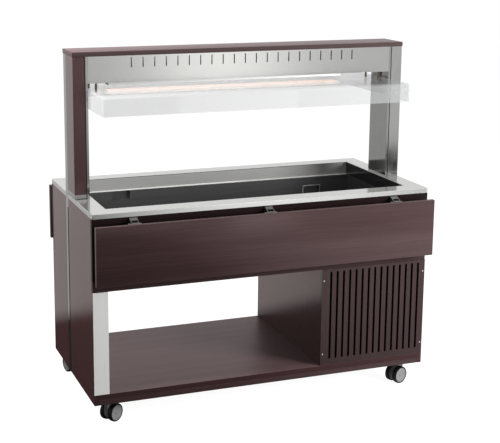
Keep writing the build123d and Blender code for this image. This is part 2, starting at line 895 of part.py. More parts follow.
def fan_motor():
    """Motor can on a foot that stands on the deck."""
    x = compartment_middle
    can = rod((x, motor_front, fan_z), (0, 1, 0), fan_motor_diameter, fan_motor_length)
    can = fillet(can.edges().filter_by(GeomType.CIRCLE), fan_motor_edge_round)
    foot_y = motor_front + (fan_motor_length - motor_foot_length) / 2
    half = motor_foot_width / 2
    foot = block(x - half, x + half, foot_y, foot_y + motor_foot_length, deck_top, fan_z)
    bore = fan_shaft_diameter + 2 * fan_shaft_clearance
    return can + foot - rod((x, motor_front, fan_z), (0, 1, 0), bore, fan_shaft_length + fan_motor_gap)


def compressor():
    """Hermetic compressor: domed pot with a weld seam, foot plate and two pipe stubs."""
    low = deck_top + compressor_foot_thickness
    radius = compressor_diameter / 2
    seam = low + compressor_height / 2
    outline = Polyline(
        (0, low),
        (compressor_base_diameter / 2, low),
        (radius, low + compressor_dome),
        (radius, seam - compressor_seam_height / 2),
        (radius + compressor_seam_proud, seam),
        (radius, seam + compressor_seam_height / 2),
        (radius, compressor_top - compressor_dome),
    )
    dome = dome_arc(radius, compressor_top - compressor_dome, compressor_dome)
    axis_side = Line((0, compressor_top), (0, low))
    pot = revolve(Plane.XZ * make_face(outline.edges() + dome.edges() + axis_side.edges()), Axis.Z)
    foot = RectangleRounded(compressor_foot_size, compressor_foot_size, compressor_foot_round)
    pot += upright(foot, deck_top, low)
    for side in (-1, 1):
        pot += rod((side * stub_spread, 0, seam), (0, 0, 1), stub_diameter, stub_top - seam)
    return Pos(compartment_middle, compressor_y) * pot


def bent_pipe(points):
    """Copper pipe along straight runs with equal bends."""
    path = FilletPolyline(*points, radius=pipe_bend)
    start = Plane(origin=path @ 0, z_dir=path % 0)
    return sweep(start * Circle(pipe_diameter / 2), path=path)


def refrigerant_pipes():
    """Hot pipe to the condenser and cold pipe up through the ceiling to the well."""
    high = max(stub_top, condenser_top) + pipe_rise
    condenser_y = (condenser_front + condenser_back) / 2
    hot = bent_pipe(
        [
            (discharge_x, compressor_y, stub_top),
            (discharge_x, compressor_y, high),
            (discharge_x, condenser_y, high),
            (discharge_x, condenser_y, condenser_top),
        ]
    )
    cold = bent_pipe(
        [
            (suction_x, compressor_y, stub_top),
            (suction_x, compressor_y, high),
            (suction_x, suction_end_y, high),
            (suction_x, suction_end_y, ceiling_top),
        ]
    )
    return hot, cold


# Control panel places
panel_z = apron_bottom - panel_below_apron
panel_rear = panel_centre_y + panel_length / 2
panel_front = panel_centre_y - panel_length / 2
switch_axis_x = half_width - switch_face
switch_places = (panel_front + switch_inset, panel_front + switch_inset + switch_spacing)
display_y = panel_rear - display_inset


def panel_body_space(grow):
    """The part of the panel that sits in the end board."""
    y = panel_length / 2 - panel_lip + grow
    z = panel_height / 2 - panel_lip + grow
    x = half_width - panel_body_depth
    return block(x, half_width, panel_centre_y - y, panel_centre_y + y, panel_z - z, panel_z + z)


def control_panel():
    """Moulded panel with a thin flange, two switch wells and a display seat."""
    flange = block(
        half_width,
        half_width + panel_flange,
        panel_front,
        panel_rear,
        panel_z - panel_height / 2,
        panel_z + panel_height / 2,
    )
    panel = fillet(flange.edges().filter_by(Axis.X), panel_lip / 2) + panel_body_space(0)
    well_low = panel_z - switch_height / 2 - switch_swing_clearance
    well_high = panel_z + switch_height / 2 + switch_swing_clearance
    well_back = switch_axis_x - switch_root - 2 * switch_swing_clearance
    half = switch_width / 2 + switch_side_clearance
    for y in switch_places:
        panel -= block(well_back, half_width + panel_flange, y - half, y + half, well_low, well_high)
        reach = half + switch_pin_length
        pin_bore = switch_pin_diameter + 2 * switch_pin_clearance
        panel -= rod((switch_axis_x, y - reach, panel_z), (0, 1, 0), pin_bore, 2 * reach)
    return panel - display_space(display_clearance)


def display_space(grow):
    """Thermostat display, or with growth its seat in the panel."""
    y = display_length / 2 + grow
    z = display_height / 2 + grow
    front = half_width + panel_flange
    return block(front - display_thickness, front, display_y - y, display_y + y, panel_z - z, panel_z + z)


def rocker_switch(y):
    """Rocker on two short pins, modelled tipped to off."""
    half = switch_height / 2
    dish = switch_face - switch_dish
    outline = Polyline(
        (-switch_root, -switch_root_height / 2),
        (dish, -half),
        (switch_face, -half),
        (dish, 0),
        (switch_face, half),
        (dish, half),
        (-switch_root, switch_root_height / 2),
        close=True,
    )
    cap = extrude(Plane.XZ * make_face(outline), switch_width / 2, both=True)
    reach = switch_width / 2 + switch_side_clearance / 2 + switch_pin_length
    cap += rod((0, -reach, 0), (0, 1, 0), switch_pin_diameter, 2 * reach)
    return Pos(switch_axis_x, y, panel_z) * Rot(0, switch_tilt, 0) * cap


def write_carcass():
    """Boards, columns, liner and grilles."""
    write("base_lower_board", base_board(body_bottom))
    write("base_deck", base_board(deck_bottom))
    write("left_front_end_board", end_board(column_near, -1, liner_sheet))
    write("left_rear_end_board", end_board(post_half, 1, liner_sheet))
    right_front = half_turn(end_board(post_half, 1, grille_thickness))
    write("right_front_end_board", cut_screw_holes(right_front))
    right_rear = cut_screw_holes(half_turn(end_board(column_near, -1, grille_thickness)))
    write("right_rear_end_board", right_rear - panel_body_space(panel_board_clearance))
    write("left_column", column())
    write("right_column", half_turn(column()))
    write("left_wall_liner", wall_liner())
    write("front_apron", apron())
    write("rear_apron", half_turn(apron()))
    write("niche_ceiling", niche_ceiling())
    write("compartment_wall", compartment_wall())
    front_grille = grille()
    write("front_grille", front_grille)
    write("rear_grille", mirror(front_grille, Plane.XZ))
    screws = [grille_screw(x, z) for x, z in screw_places()]
    write("grille_screws", *screws, *[mirror(screw, Plane.XZ) for screw in screws])


def write_well():
    """Rim, core, well, insulation and drain."""
    write("worktop_core", worktop_core())
    write("top_frame", top_frame())
    write("well_tub", well_tub())
    write("well_insulation", well_insulation())
    write("drain_pipe", drain_pipe())


def write_superstructure():
    """Posts, top board, lamp housing and guard."""
    write("left_post_cladding", post_cladding())
    write("right_post_cladding", half_turn(post_cladding()))
    write("left_post_liner", post_liner())
    write("right_post_liner", half_turn(post_liner()))
    write("post_collars", post_collar(), half_turn(post_collar()))
    write("top_board", top_board())
    write("lamp_housing", lamp_housing())
    write("lamp_panel", lamp_panel())
    write("guard", guard())
    write("guard_standoffs", *[standoff(x, y) for x, y in standoff_places()])


def write_flaps():
    """Both flaps with their brackets, pins and arms."""
    brackets = [hinge_bracket(x) for x in hinge_places]
    pins = [hinge_pin(x) for x in hinge_places]
    arms = [hinge_arm(x) for x in hinge_places]
    write("flap_brackets", *brackets, *[half_turn(bracket) for bracket in brackets])
    write("flap_pivot_pins", *pins, *[half_turn(pin) for pin in pins])
    write("front_flap", flap())
    write("rear_flap", half_turn(flap()))
    write("front_flap_arms", *arms)
    write("rear_flap_arms", *[half_turn(arm) for arm in arms])


def write_casters():
    """Four casters, each turned to its own resting direction."""
    plates = [caster_spot(name) * solid for name in caster_turns for solid in caster_plate()]
    write("caster_plates", *plates)
    for name, turn in caster_turns.items():
        place = caster_spot(name) * Rot(0, 0, turn)
        write(f"{name}_caster_body", place * caster_body())
        write(f"{name}_caster_hubs", place * hub(-1), place * hub(1), place * wheel_axle())
        write(f"{name}_caster_tyres", place * tyre(-1), place * tyre(1))


def write_cooling():
    """Compressor, condenser, fan and pipes."""
    write("compressor", compressor())
    write("condenser", condenser())
    write("fan_shroud", fan_shroud())
    write("fan_motor", fan_motor())
    write("fan_blades", fan_blades())
    write("refrigerant_pipes", *refrigerant_pipes())


def write_controls():
    """Panel, switches and display."""
    write("control_panel", control_panel())
    write("cooling_switch", rocker_switch(switch_places[0]))
    write("light_switch", rocker_switch(switch_places[1]))
    write("thermostat_display", display_space(0))


os.makedirs("parts", exist_ok=True)
write_carcass()
write_well()
write_superstructure()
write_flaps()
write_casters()
write_cooling()
write_controls()
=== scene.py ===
import json
import math

import bmesh
import bpy
from mathutils import Matrix, Vector


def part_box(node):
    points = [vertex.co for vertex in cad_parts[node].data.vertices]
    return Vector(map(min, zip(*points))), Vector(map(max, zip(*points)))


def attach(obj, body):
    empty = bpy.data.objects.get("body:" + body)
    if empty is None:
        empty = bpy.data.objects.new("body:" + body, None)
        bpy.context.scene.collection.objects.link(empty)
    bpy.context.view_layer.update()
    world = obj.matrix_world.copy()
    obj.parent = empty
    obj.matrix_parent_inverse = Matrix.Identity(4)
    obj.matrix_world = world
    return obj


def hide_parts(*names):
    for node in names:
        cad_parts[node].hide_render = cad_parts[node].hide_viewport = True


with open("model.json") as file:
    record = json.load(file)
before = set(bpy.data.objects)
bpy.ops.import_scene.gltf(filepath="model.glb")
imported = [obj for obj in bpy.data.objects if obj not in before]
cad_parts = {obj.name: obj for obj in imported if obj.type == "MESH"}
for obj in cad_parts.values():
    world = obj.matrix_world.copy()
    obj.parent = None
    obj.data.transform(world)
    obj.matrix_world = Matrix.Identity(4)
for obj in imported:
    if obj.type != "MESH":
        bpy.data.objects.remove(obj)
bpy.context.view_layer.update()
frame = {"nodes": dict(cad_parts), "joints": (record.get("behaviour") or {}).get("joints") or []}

bl_info = {
    "name": "Buffet trolley looks",
    "version": (1, 0, 0),
    "blender": (4, 5, 0),
    "location": "View3D > Sidebar > Trolley",
    "description": "Finishes and fine pieces of a buffet trolley, made round its packed solids",
    "category": "Object",
}

NODES = frame["nodes"]
JOINTS = {joint["name"]: joint for joint in frame["joints"]}
MM = 0.001
AXES = {"X": 0, "Y": 1, "Z": 2}

END_BOARDS = ("left_front_end_board", "left_rear_end_board", "right_front_end_board", "right_rear_end_board")
CLADDINGS = ("left_post_cladding", "right_post_cladding")
APRONS = ("front_apron", "rear_apron")
CASTERS = ("front_left", "front_right", "rear_left", "rear_right")
# Long sides of the trolley, and which way each faces along Y
LONG_SIDES = (("front", -1), ("rear", 1))

# Half length and half width of the recess in the rim
RECESS_REACH = (0.660, 0.274)
# Middle of the sensor pocket in the well's rear wall; the front wall's lies half a turn from it
POCKET_MIDDLE = (0.474, 0.262, 0.760)
# Heights of the hinge screws in the brackets and in the arms
BRACKET_SCREW_HEIGHT = 0.8175
ARM_SCREW_HEIGHTS = (0.788, 0.808)
# Height of the caster plates' under side
CASTER_PLATE_UNDER = 0.094

# Edges of a piece that turn more than the first are shaded sharp, and more than the second are corners
SHARP_TURN = math.radians(35)
CORNER_TURN = 1.0

# Most of a noise pattern lies between these values
NOISE_LOW, NOISE_HIGH = 0.3, 0.7
# How many times longer than wide a streak of grain and a brush line are drawn
GRAIN_DRAW, BRUSH_DRAW = 60, 300
# Size of the slow changes of tone in the laminate
SLOW_TONE = 45 * MM
# Gloss of the laminates that redden what they mirror
RED_GLOSS = "#ffa8a8"
# Sockets of a Mix node: inputs and output for colours, inputs for numbers
MIX_A, MIX_B, MIX_OUT = 6, 7, 2
BLEND_A, BLEND_B = 2, 3

# The photograph's size and the solved lens, in its pixels
PHOTO_WIDTH, PHOTO_HEIGHT = 500, 443
FOCAL_LENGTH = 1184.7
LENS_CENTRE = (215, 168)
SENSOR_WIDTH = 36.0


def linear(code):
    """An sRGB hex colour as the linear values that shaders take."""
    parts = [int(code[i : i + 2], 16) / 255 for i in (1, 3, 5)]
    return tuple(p / 12.92 if p <= 0.04045 else ((p + 0.055) / 1.055) ** 2.4 for p in parts) + (1.0,)


def colour(label, about, code):
    """A colour that the user can change."""
    return bpy.props.FloatVectorProperty(
        name=label, description=about, subtype="COLOR", size=4, min=0.0, max=1.0, default=linear(code)
    )


def length(label, about, millimetres):
    """A length that the user can change."""
    return bpy.props.FloatProperty(
        name=label, description=about, unit="LENGTH", subtype="DISTANCE", precision=5,
        default=millimetres * MM,
    )


def power(label, about, watts):
    """A lamp's power that the user can change."""
    return bpy.props.FloatProperty(name=label, description=about, unit="POWER", default=watts)


def angle(label, about, degrees):
    """An angle that the user can change."""
    return bpy.props.FloatProperty(
        name=label, description=about, subtype="ANGLE", default=math.radians(degrees)
    )


class TrolleyFinish(bpy.types.PropertyGroup):
    """Colours of the finishes."""

    wenge_dark: colour("Wenge pores", "Darkest streaks of the laminate", "#362627")
    wenge_mid: colour("Wenge ground", "Ground colour of the laminate", "#3e2d2e")
    wenge_light: colour("Wenge light", "Lightest streaks of the laminate", "#473637")
    # The deck colour is the wenge painted paler: painted light on the shaded deck and on the canopy's top
    # board
    deck: colour("Deck", "Laminate of the deck, painted paler", "#5f4b4d")
    band: colour("Edge band", "Edge banding of the boards", "#4a3b3b")
    steel: colour("Stainless", "Brushed stainless sheet", "#c2c2c0")
    satin: colour("Satin stainless", "Lamp housing", "#acacaa")
    polished: colour("Polished stainless", "Polished liners and collars", "#9c9c9b")
    # The columns' stainless is a lighter copy of the liners' polished stainless, painted light
    column: colour("Column stainless", "Polished full-height columns", "#a6a6a5")
    well: colour("Well", "Inside of the cold well", "#5c5c5d")
    zinc: colour("Zinc", "Plated hinges and caster plates", "#858584")
    acrylic: colour("Acrylic", "Clear guard", "#b2b3b3")
    lamp: colour("Lamp", "Light of the lamp", "#f6cfbd")
    caster: colour("Caster grey", "Hubs and hoods", "#868786")
    tyre: colour("Tyre", "Rubber treads", "#0f0f0f")


class TrolleySizes(bpy.types.PropertyGroup):
    """Sizes of the fine pieces and of the patterns."""

    board_round: length("Board edge", "Rounding of the boards' edges", 1.2)
    flap_round: length("Flap edge", "Rounding of the edge-banded boards", 2.0)
    sheet_round: length("Sheet edge", "Rounding of folded sheet edges", 0.6)
    grain_width: length("Grain", "Width of a streak across the wenge grain", 3.0)
    brush_width: length("Brush lines", "Spacing of the brush lines in the steel", 0.8)
    screw_radius: length("Screw head", "Radius of a screw head", 3.5)
    screw_height: length("Screw height", "Height of a screw head", 1.6)
    tread_round: length("Tyre shoulder", "Rounding of the tyres' shoulders", 4.0)


class TrolleyStage(bpy.types.PropertyGroup):
    """Lamps, background and camera."""

    key_power: power("Key", "Power of the key softbox", 68.0)
    fill_power: power("Fill", "Power of the fill softbox", 128.0)
    top_power: power("Top", "Power of the overhead softbox", 14.0)
    back_power: power("Back", "Power of the rear softbox", 30.0)
    front_power: power("Front", "Power of the dim softbox that metal and clear plastic mirror", 14.5)
    ambient: bpy.props.FloatProperty(name="Ambient", description="Even light from the room", default=0.29)
    camera_place: bpy.props.FloatVectorProperty(
        name="Camera", description="Where the camera stands", subtype="TRANSLATION",
        default=(-1.8202, -4.6513, 1.9763),
    )
    camera_turn: angle("Azimuth", "Camera's angle round the trolley", -20.270)
    camera_rise: angle("Elevation", "Camera's angle above level", 11.654)
    camera_roll: angle("Roll", "Camera's roll", 0.324)


def looks():
    """The colours that the user set."""
    return bpy.context.scene.trolley_finish


def sizes():
    """The sizes that the user set."""
    return bpy.context.scene.trolley_sizes


def add(tree, kind, settings=None, links=None):
    """Add a node with its settings and with the links into it."""
    node = tree.nodes.new(kind)
    for key, value in (settings or {}).items():
        if isinstance(key, int) or key in node.inputs:
            node.inputs[key].default_value = value
        else:
            setattr(node, key, value)
    for key, output in (links or {}).items():
        tree.links.new(output, node.inputs[key])
    return node


def patterned(
    name, dark, light, grain, stretch=(1, 1, 1), rough=(0.4, 0.5), bump=0.0, broad=0.0, ground=None, **values
):
    """A finish whose colour, roughness and relief follow one pattern of a real grain size.

    grain and bump are in metres. stretch draws the pattern out along an axis, broad is the size of slow
    changes of tone over the piece, and ground is a colour between the dark and the light one.
    """
    made = bpy.data.materials.get(name)
    if made:
        return made
    made = bpy.data.materials.new(name)
    made.use_nodes = True
    tree = made.node_tree
    shader = tree.nodes["Principled BSDF"]
    for socket, value in values.items():
        shader.inputs[socket.replace("_", " ")].default_value = value
    where = add(tree, "ShaderNodeTexCoord")
    turn = add(tree, "ShaderNodeMapping", {"Scale": stretch}, {"Vector": where.outputs["Object"]})
    drawn = {"Vector": turn.outputs["Vector"]}
    fine = add(tree, "ShaderNodeTexNoise", {"Scale": 1 / grain, "Detail": 5.0, "Roughness": 0.6}, drawn)
    pattern = fine.outputs["Fac"]
    if broad:
        slow = add(tree, "ShaderNodeTexNoise", {"Scale": 1 / broad, "Detail": 2.0}, drawn)
        both = {BLEND_A: pattern, BLEND_B: slow.outputs["Fac"]}
        pattern = add(tree, "ShaderNodeMix", {"data_type": "FLOAT", 0: 0.4}, both).outputs[0]
    tone = add(tree, "ShaderNodeValToRGB", None, {"Fac": pattern})
    ends = tone.color_ramp.elements
    ends[0].position = NOISE_LOW
    ends[0].color = dark
    ends[1].position = NOISE_HIGH
    ends[1].color = light
    if ground:
        ends.new(0.5).color = ground
    spread = add(
        tree, "ShaderNodeMapRange",
        {"From Min": NOISE_LOW, "From Max": NOISE_HIGH, "To Min": rough[0], "To Max": rough[1]},
        {"Value": pattern},
    )
    tree.links.new(tone.outputs["Color"], shader.inputs["Base Color"])
    tree.links.new(spread.outputs["Result"], shader.inputs["Roughness"])
    if bump:
        relief = add(tree, "ShaderNodeBump", {"Strength": 0.6, "Distance": bump}, {"Height": pattern})
        tree.links.new(relief.outputs["Normal"], shader.inputs["Normal"])
    return made


def recoloured(made, side, limit, tone, axis="Z"):
    """The same finish with one plain tone on one side of a limit along an axis."""
    tree = made.node_tree
    base = tree.nodes["Principled BSDF"].inputs["Base Color"]
    where = next(n for n in tree.nodes if n.type == "TEX_COORD")
    place = add(tree, "ShaderNodeSeparateXYZ", None, {"Vector": where.outputs["Object"]})
    part = add(tree, "ShaderNodeMath", {"operation": side, 1: limit}, {0: place.outputs[axis]})
    mixed = add(
        tree, "ShaderNodeMix", {"data_type": "RGBA", MIX_B: tone},
        {0: part.outputs[0], MIX_A: base.links[0].from_socket},
    )
    tree.links.new(mixed.outputs[MIX_OUT], base)
    return made


def drawn_out(axis, times):
    """Mapping scale that draws a pattern out along one axis."""
    return tuple(1 / times if i == AXES[axis] else 1.0 for i in range(3))


def tinted(tone, share):
    """A colour made lighter (share above 1) or darker."""
    return tuple(min(1.0, c * share) for c in tuple(tone)[:3]) + (1.0,)


def shaded(name, tone, dark, light, grain, **values):
    """A finish between two shares of a colour that the user can change."""
    tone = getattr(looks(), tone)
    return patterned(name, tinted(tone, dark), tinted(tone, light), grain, **values)


def wenge(axis, gloss=0.35, tint="#ffe4e4", sheen=0.0, tone=1.0):
    """Melamine-faced board with a wenge print: fine straight pores, pressed satin, a little relief.

    Real pores are under a millimetre wide; they are drawn coarser so that they show. The sheen is the brown
    shimmer of the pressed face at a low angle.
    """
    look = looks()
    dark, ground, light = (tinted(c, tone) for c in (look.wenge_dark, look.wenge_mid, look.wenge_light))
    return patterned(
        f"wenge_melamine_grain_{axis.lower()}_{gloss:.2f}", dark, light, sizes().grain_width,
        drawn_out(axis, GRAIN_DRAW), rough=(0.2, 0.16), bump=0.006 * MM, broad=SLOW_TONE, ground=ground,
        Specular_IOR_Level=gloss, Specular_Tint=linear(tint),
        Sheen_Weight=sheen, Sheen_Roughness=0.3, Sheen_Tint=linear("#ff7070"),
    )


def deck_laminate():
    """The same wenge print on the deck, rougher, and painted a shade paler as painted light on the shaded
    deck.
    """
    made = shaded(
        "wenge_melamine_rubbed_deck", "deck", 0.85, 1.12, sizes().grain_width,
        stretch=drawn_out("X", GRAIN_DRAW), rough=(0.45, 0.38), bump=0.012 * MM, broad=SLOW_TONE,
        Specular_IOR_Level=0.28, Specular_Tint=linear(RED_GLOSS),
    )
    # Below the deck's top face the edges keep the darkest wenge tone; above it the paler tone is painted light
    return recoloured(made, "LESS_THAN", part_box("base_deck")[1].z - 0.6 * MM, looks().wenge_dark)


def apron_laminate():
    """Matt wenge board whose upper part, behind the flap, is painted near black, a painted shade of the gap
    behind the flap.
    """
    look, size = looks(), sizes()
    made = patterned(
        "wenge_melamine_dark_backing", look.wenge_dark, look.wenge_light, size.grain_width,
        drawn_out("X", GRAIN_DRAW), rough=(0.5, 0.42), bump=0.006 * MM, broad=SLOW_TONE,
        Specular_IOR_Level=0.12,
    )
    # Painted shade: near black above a line 8 mm over the flap's lower edge
    return recoloured(made, "GREATER_THAN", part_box("front_flap")[0].z + 8 * MM, tinted(look.wenge_dark, 0.3))


def edge_band():
    """ABS edge banding: the same print, painted a shade lighter than the faces, a painted highlight on the
    rounded edges.
    """
    return shaded(
        "wenge_abs_edge_band", "band", 0.8, 1.1, 4 * MM, stretch=drawn_out("X", 30), rough=(0.42, 0.5),
        bump=0.02 * MM, Specular_IOR_Level=0.25,
    )


def brushed_steel(axis, metal=1.0):
    """Stainless sheet ground with a belt: long fine lines that spread the highlights.

    Real lines are about 0.1 mm apart; they are drawn coarser so that they show.
    """
    return shaded(
        f"brushed_stainless_{axis.lower()}_{metal:.1f}", "steel", 0.96, 1.03, sizes().brush_width,
        stretch=drawn_out(axis, BRUSH_DRAW), rough=(0.26, 0.34), bump=0.002 * MM, Metallic=metal,
    )


def liner_steel():
    """Brushed stainless liner whose front edge is painted lighter, a painted highlight."""
    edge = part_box("left_wall_liner")[0].y + 0.7 * MM
    # Painted highlight: the front edge is painted 1.75 times as light as the steel
    return recoloured(brushed_steel("Z", 0.2), "LESS_THAN", edge, tinted(looks().steel, 1.75), "Y")


def satin_steel():
    """Stainless sheet with a dull mill finish: soft, grey, faint lines along the sheet."""
    return shaded(
        "satin_stainless_sheet", "satin", 0.96, 1.03, sizes().brush_width,
        stretch=drawn_out("X", BRUSH_DRAW), rough=(0.2, 0.26), bump=0.002 * MM, Metallic=1.0,
    )


def rim_steel():
    """Bright-rolled stainless rim: dull long recess walls and polished end walls. The long recess walls and
    the folded skirts are painted paler, a painted highlight, and the end walls are painted dark, a painted
    reflection.
    """
    look = looks()
    made = shaded(
        "brushed_stainless_rim", "steel", 0.85, 0.92, sizes().brush_width,
        stretch=drawn_out("X", BRUSH_DRAW), rough=(0.12, 0.18), bump=0.002 * MM,
    )
    tree = made.node_tree
    shader = tree.nodes["Principled BSDF"]
    where = next(n for n in tree.nodes if n.type == "TEX_COORD")
    place = add(tree, "ShaderNodeSeparateXYZ", None, {"Vector": where.outputs["Object"]})
    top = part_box("top_frame")[1]
    fold, near = 3 * MM, 1 * MM
    below = {"operation": "LESS_THAN", 1: top.z - fold}
    low = add(tree, "ShaderNodeMath", below, {0: place.outputs["Z"]}).outputs[0]
    out, even = {}, {"operation": "ABSOLUTE"}
    for axis, reach in zip("XY", RECESS_REACH):
        out[axis] = add(tree, "ShaderNodeMath", even, {0: place.outputs[axis]}).outputs[0]
        within = add(tree, "ShaderNodeMath", {"operation": "LESS_THAN", 1: reach + fold}, {0: out[axis]})
        both = {0: low, 1: within.outputs[0]}
        low = add(tree, "ShaderNodeMath", {"operation": "MULTIPLY"}, both).outputs[0]
    at_wall = {"operation": "COMPARE", 1: RECESS_REACH[0], 2: near}
    at_end = add(tree, "ShaderNodeMath", at_wall, {0: out["X"]}).outputs[0]
    end_wall = add(tree, "ShaderNodeMath", {"operation": "MULTIPLY"}, {0: low, 1: at_end}).outputs[0]
    side_wall = add(tree, "ShaderNodeMath", {"operation": "SUBTRACT"}, {0: low, 1: end_wall}).outputs[0]
    skirt = add(tree, "ShaderNodeMath", {"operation": "GREATER_THAN", 1: top.y - near}, {0: out["Y"]})
    folded = add(tree, "ShaderNodeMath", {"operation": "MAXIMUM"}, {0: skirt.outputs[0], 1: side_wall})
    tone = shader.inputs["Base Color"].links[0].from_socket
    # Painted reflection: the end walls are painted dark grey; painted highlight: the skirts and long recess
    # walls are painted a paler steel
    dull, pale = tinted(look.well, 0.6), tinted(look.steel, 1.2)
    for colour_there, share in ((dull, end_wall), (pale, folded.outputs[0])):
        mixed = {"data_type": "RGBA", MIX_B: colour_there}
        tone = add(tree, "ShaderNodeMix", mixed, {0: share, MIX_A: tone}).outputs[MIX_OUT]
    rough = shader.inputs["Roughness"].links[0].from_socket
    smooth = add(tree, "ShaderNodeMix", {"data_type": "FLOAT", BLEND_B: 0.14}, {0: end_wall, BLEND_A: rough})
    metal = add(tree, "ShaderNodeMapRange", {"To Min": 0.8, "To Max": 0.5}, {"Value": side_wall})
    tree.links.new(tone, shader.inputs["Base Color"])
    tree.links.new(smooth.outputs[0], shader.inputs["Roughness"])
    tree.links.new(metal.outputs["Result"], shader.inputs["Metallic"])
    return made


def polished_steel(tone="polished"):
    """Polished stainless: clear reflections with a trace of wiping marks."""
    return shaded(
        f"{tone}_stainless", tone, 0.95, 1.03, 30 * MM, stretch=drawn_out("Z", 3), rough=(0.07, 0.13),
        Metallic=1.0,
    )


def well_steel():
    """Pressed stainless well with a dull dark satin inside; its right end wall is painted darker still,
    painted shade.
    """
    made = shaded(
        "satin_well_stainless", "well", 0.85, 1.1, 3 * MM, stretch=drawn_out("X", 120), rough=(0.34, 0.46),
        bump=0.01 * MM, Metallic=0.45,
    )
    # Painted shade: the right end wall is painted at two fifths of the well's tone
    dark = tinted(looks().well, 0.4)
    return recoloured(made, "GREATER_THAN", RECESS_REACH[0] - 0.5 * MM, dark, "X")


def zinc_steel():
    """Zinc-plated pressed steel: cool grey with a faint spangle."""
    return shaded(
        "zinc_plated_steel", "zinc", 0.85, 1.1, 6 * MM, rough=(0.28, 0.42), bump=0.01 * MM, Metallic=1.0
    )


def clear_acrylic():
    """Cast clear acrylic sheet, hot-bent: thin, so it is drawn as a clear film with a slight haze."""
    return shaded(
        "clear_cast_acrylic", "acrylic", 0.98, 1.0, 90 * MM, rough=(0.03, 0.06), IOR=1.49,
        Specular_IOR_Level=1.0, Alpha=0.29,
    )


def lamp_opal():
    """Opal acrylic over the lamp: an even warm glow with a faint grain."""
    return shaded(
        "opal_acrylic_lamp", "lamp", 0.92, 1.0, 12 * MM, rough=(0.4, 0.5), IOR=1.49, Emission_Strength=3.0,
        Emission_Color=looks().lamp,
    )


def caster_nylon():
    """Moulded grey nylon: fine spark-eroded texture."""
    return shaded(
        "moulded_grey_nylon", "caster", 0.88, 1.08, 1.2 * MM, rough=(0.38, 0.5), bump=0.03 * MM,
        broad=25 * MM,
    )


def tyre_rubber():
    """Soft rubber tread: black, dull, a little dusty."""
    return shaded(
        "thermoplastic_rubber_tread", "tyre", 0.7, 1.6, 2.5 * MM, rough=(0.6, 0.78), bump=0.05 * MM,
        broad=20 * MM, Specular_IOR_Level=0.25,
    )


# Plain finishes: what each is and shows, then its two colours, its grain in millimetres and its values
PLAIN_FINISHES = {
    # Nickel-plated screws and cap nuts: bright with small marks
    "nickel_plated_screw": ("#b9b7b2", "#d6d4cf", 1.5, dict(rough=(0.14, 0.26), Metallic=1.0)),
    # Turned bronze standoffs: brown, a little dull from handling
    "turned_bronze": ("#5f4a3e", "#8a7060", 3, dict(rough=(0.26, 0.4), Metallic=1.0)),
    # White stoving enamel on the lamp's frame: smooth with slight orange peel
    "white_stoving_enamel": ("#e4e4e2", "#f4f4f2", 4, dict(rough=(0.3, 0.4), bump=0.04 * MM)),
    # Moulded black ABS with a fine grain
    "moulded_black_abs": (
        "#141414", "#262626", 0.8, dict(rough=(0.36, 0.5), bump=0.03 * MM, broad=18 * MM)
    ),
    # Smoked polycarbonate lens: nearly black and glossy
    "smoked_polycarbonate_lens": ("#08080a", "#121216", 20, dict(rough=(0.05, 0.1), IOR=1.58)),
    # Black stoving enamel on steel: glossy with slight orange peel
    "black_stoving_enamel": (
        "#0d0d0d", "#1c1c1c", 4, dict(rough=(0.22, 0.34), bump=0.04 * MM, broad=40 * MM)
    ),
    # Galvanised sheet: grey with flat crystals
    "galvanised_sheet": ("#7d8082", "#a9acae", 9, dict(rough=(0.35, 0.5), Metallic=1.0)),
    # Rolled aluminium fins: bright with fine rolling lines
    "rolled_aluminium_fin": (
        "#a8aaac", "#c9cbcc", 2, dict(stretch=drawn_out("Z", 40), rough=(0.28, 0.4), Metallic=1.0)
    ),
    # Drawn copper tube, slightly tarnished
    "drawn_copper_tube": ("#8d4a2c", "#c9825c", 12, dict(rough=(0.2, 0.36), Metallic=1.0)),
    # Rigid polyurethane foam: matt cream with small cells
    "rigid_polyurethane_foam": ("#d8c48e", "#efe0b4", 2.5, dict(rough=(0.85, 0.95), bump=0.3 * MM)),
    # Raw chipboard: flakes of several browns
    "raw_chipboard": ("#8a6a45", "#c4a578", 4, dict(rough=(0.7, 0.85), bump=0.15 * MM)),
    # Black open-cell filter foam: matt, full of small holes
    "black_open_cell_filter_foam": (
        "#050505", "#141414", 1.5, dict(rough=(0.85, 0.95), bump=0.4 * MM, Specular_IOR_Level=0.1)
    ),
    # White pad-printed ink, a little uneven
    "white_pad_print_ink": ("#d9d9d4", "#f2f2ee", 1, dict(rough=(0.5, 0.6))),
    # Lit red segments behind the lens
    "lit_red_segment": (
        "#d0281c", "#ff4a36", 1,
        dict(rough=(0.4, 0.5), Emission_Strength=1.2, Emission_Color=linear("#ff3b28")),
    ),
}


def plain(name):
    """One of the plain finishes."""
    dark, light, grain, values = PLAIN_FINISHES[name]
    return patterned(name, linear(dark), linear(light), grain * MM, **values)


def dress(material, *names):
    """Give CAD nodes a finish."""
    for name in names:
        slots = NODES[name].data.materials
        slots.clear()
        slots.append(material)


def soften(width, *names):
    """Ease the sharp edges of CAD nodes with live modifiers; the nodes' own meshes stay as they are."""
    for name in names:
        stack = NODES[name].modifiers
        weld = stack.new("joined_corners", "WELD")
        weld.merge_threshold = 0.01 * MM
        flat = stack.new("whole_flats", "DECIMATE")
        flat.decimate_type = "DISSOLVE"
        flat.angle_limit = math.radians(0.5)
        ease = stack.new("eased_edges", "BEVEL")
        ease.width = width
        ease.segments = 2
        ease.limit_method = "ANGLE"
        ease.angle_limit = math.radians(40)
        ease.use_clamp_overlap = True
        ease.harden_normals = True


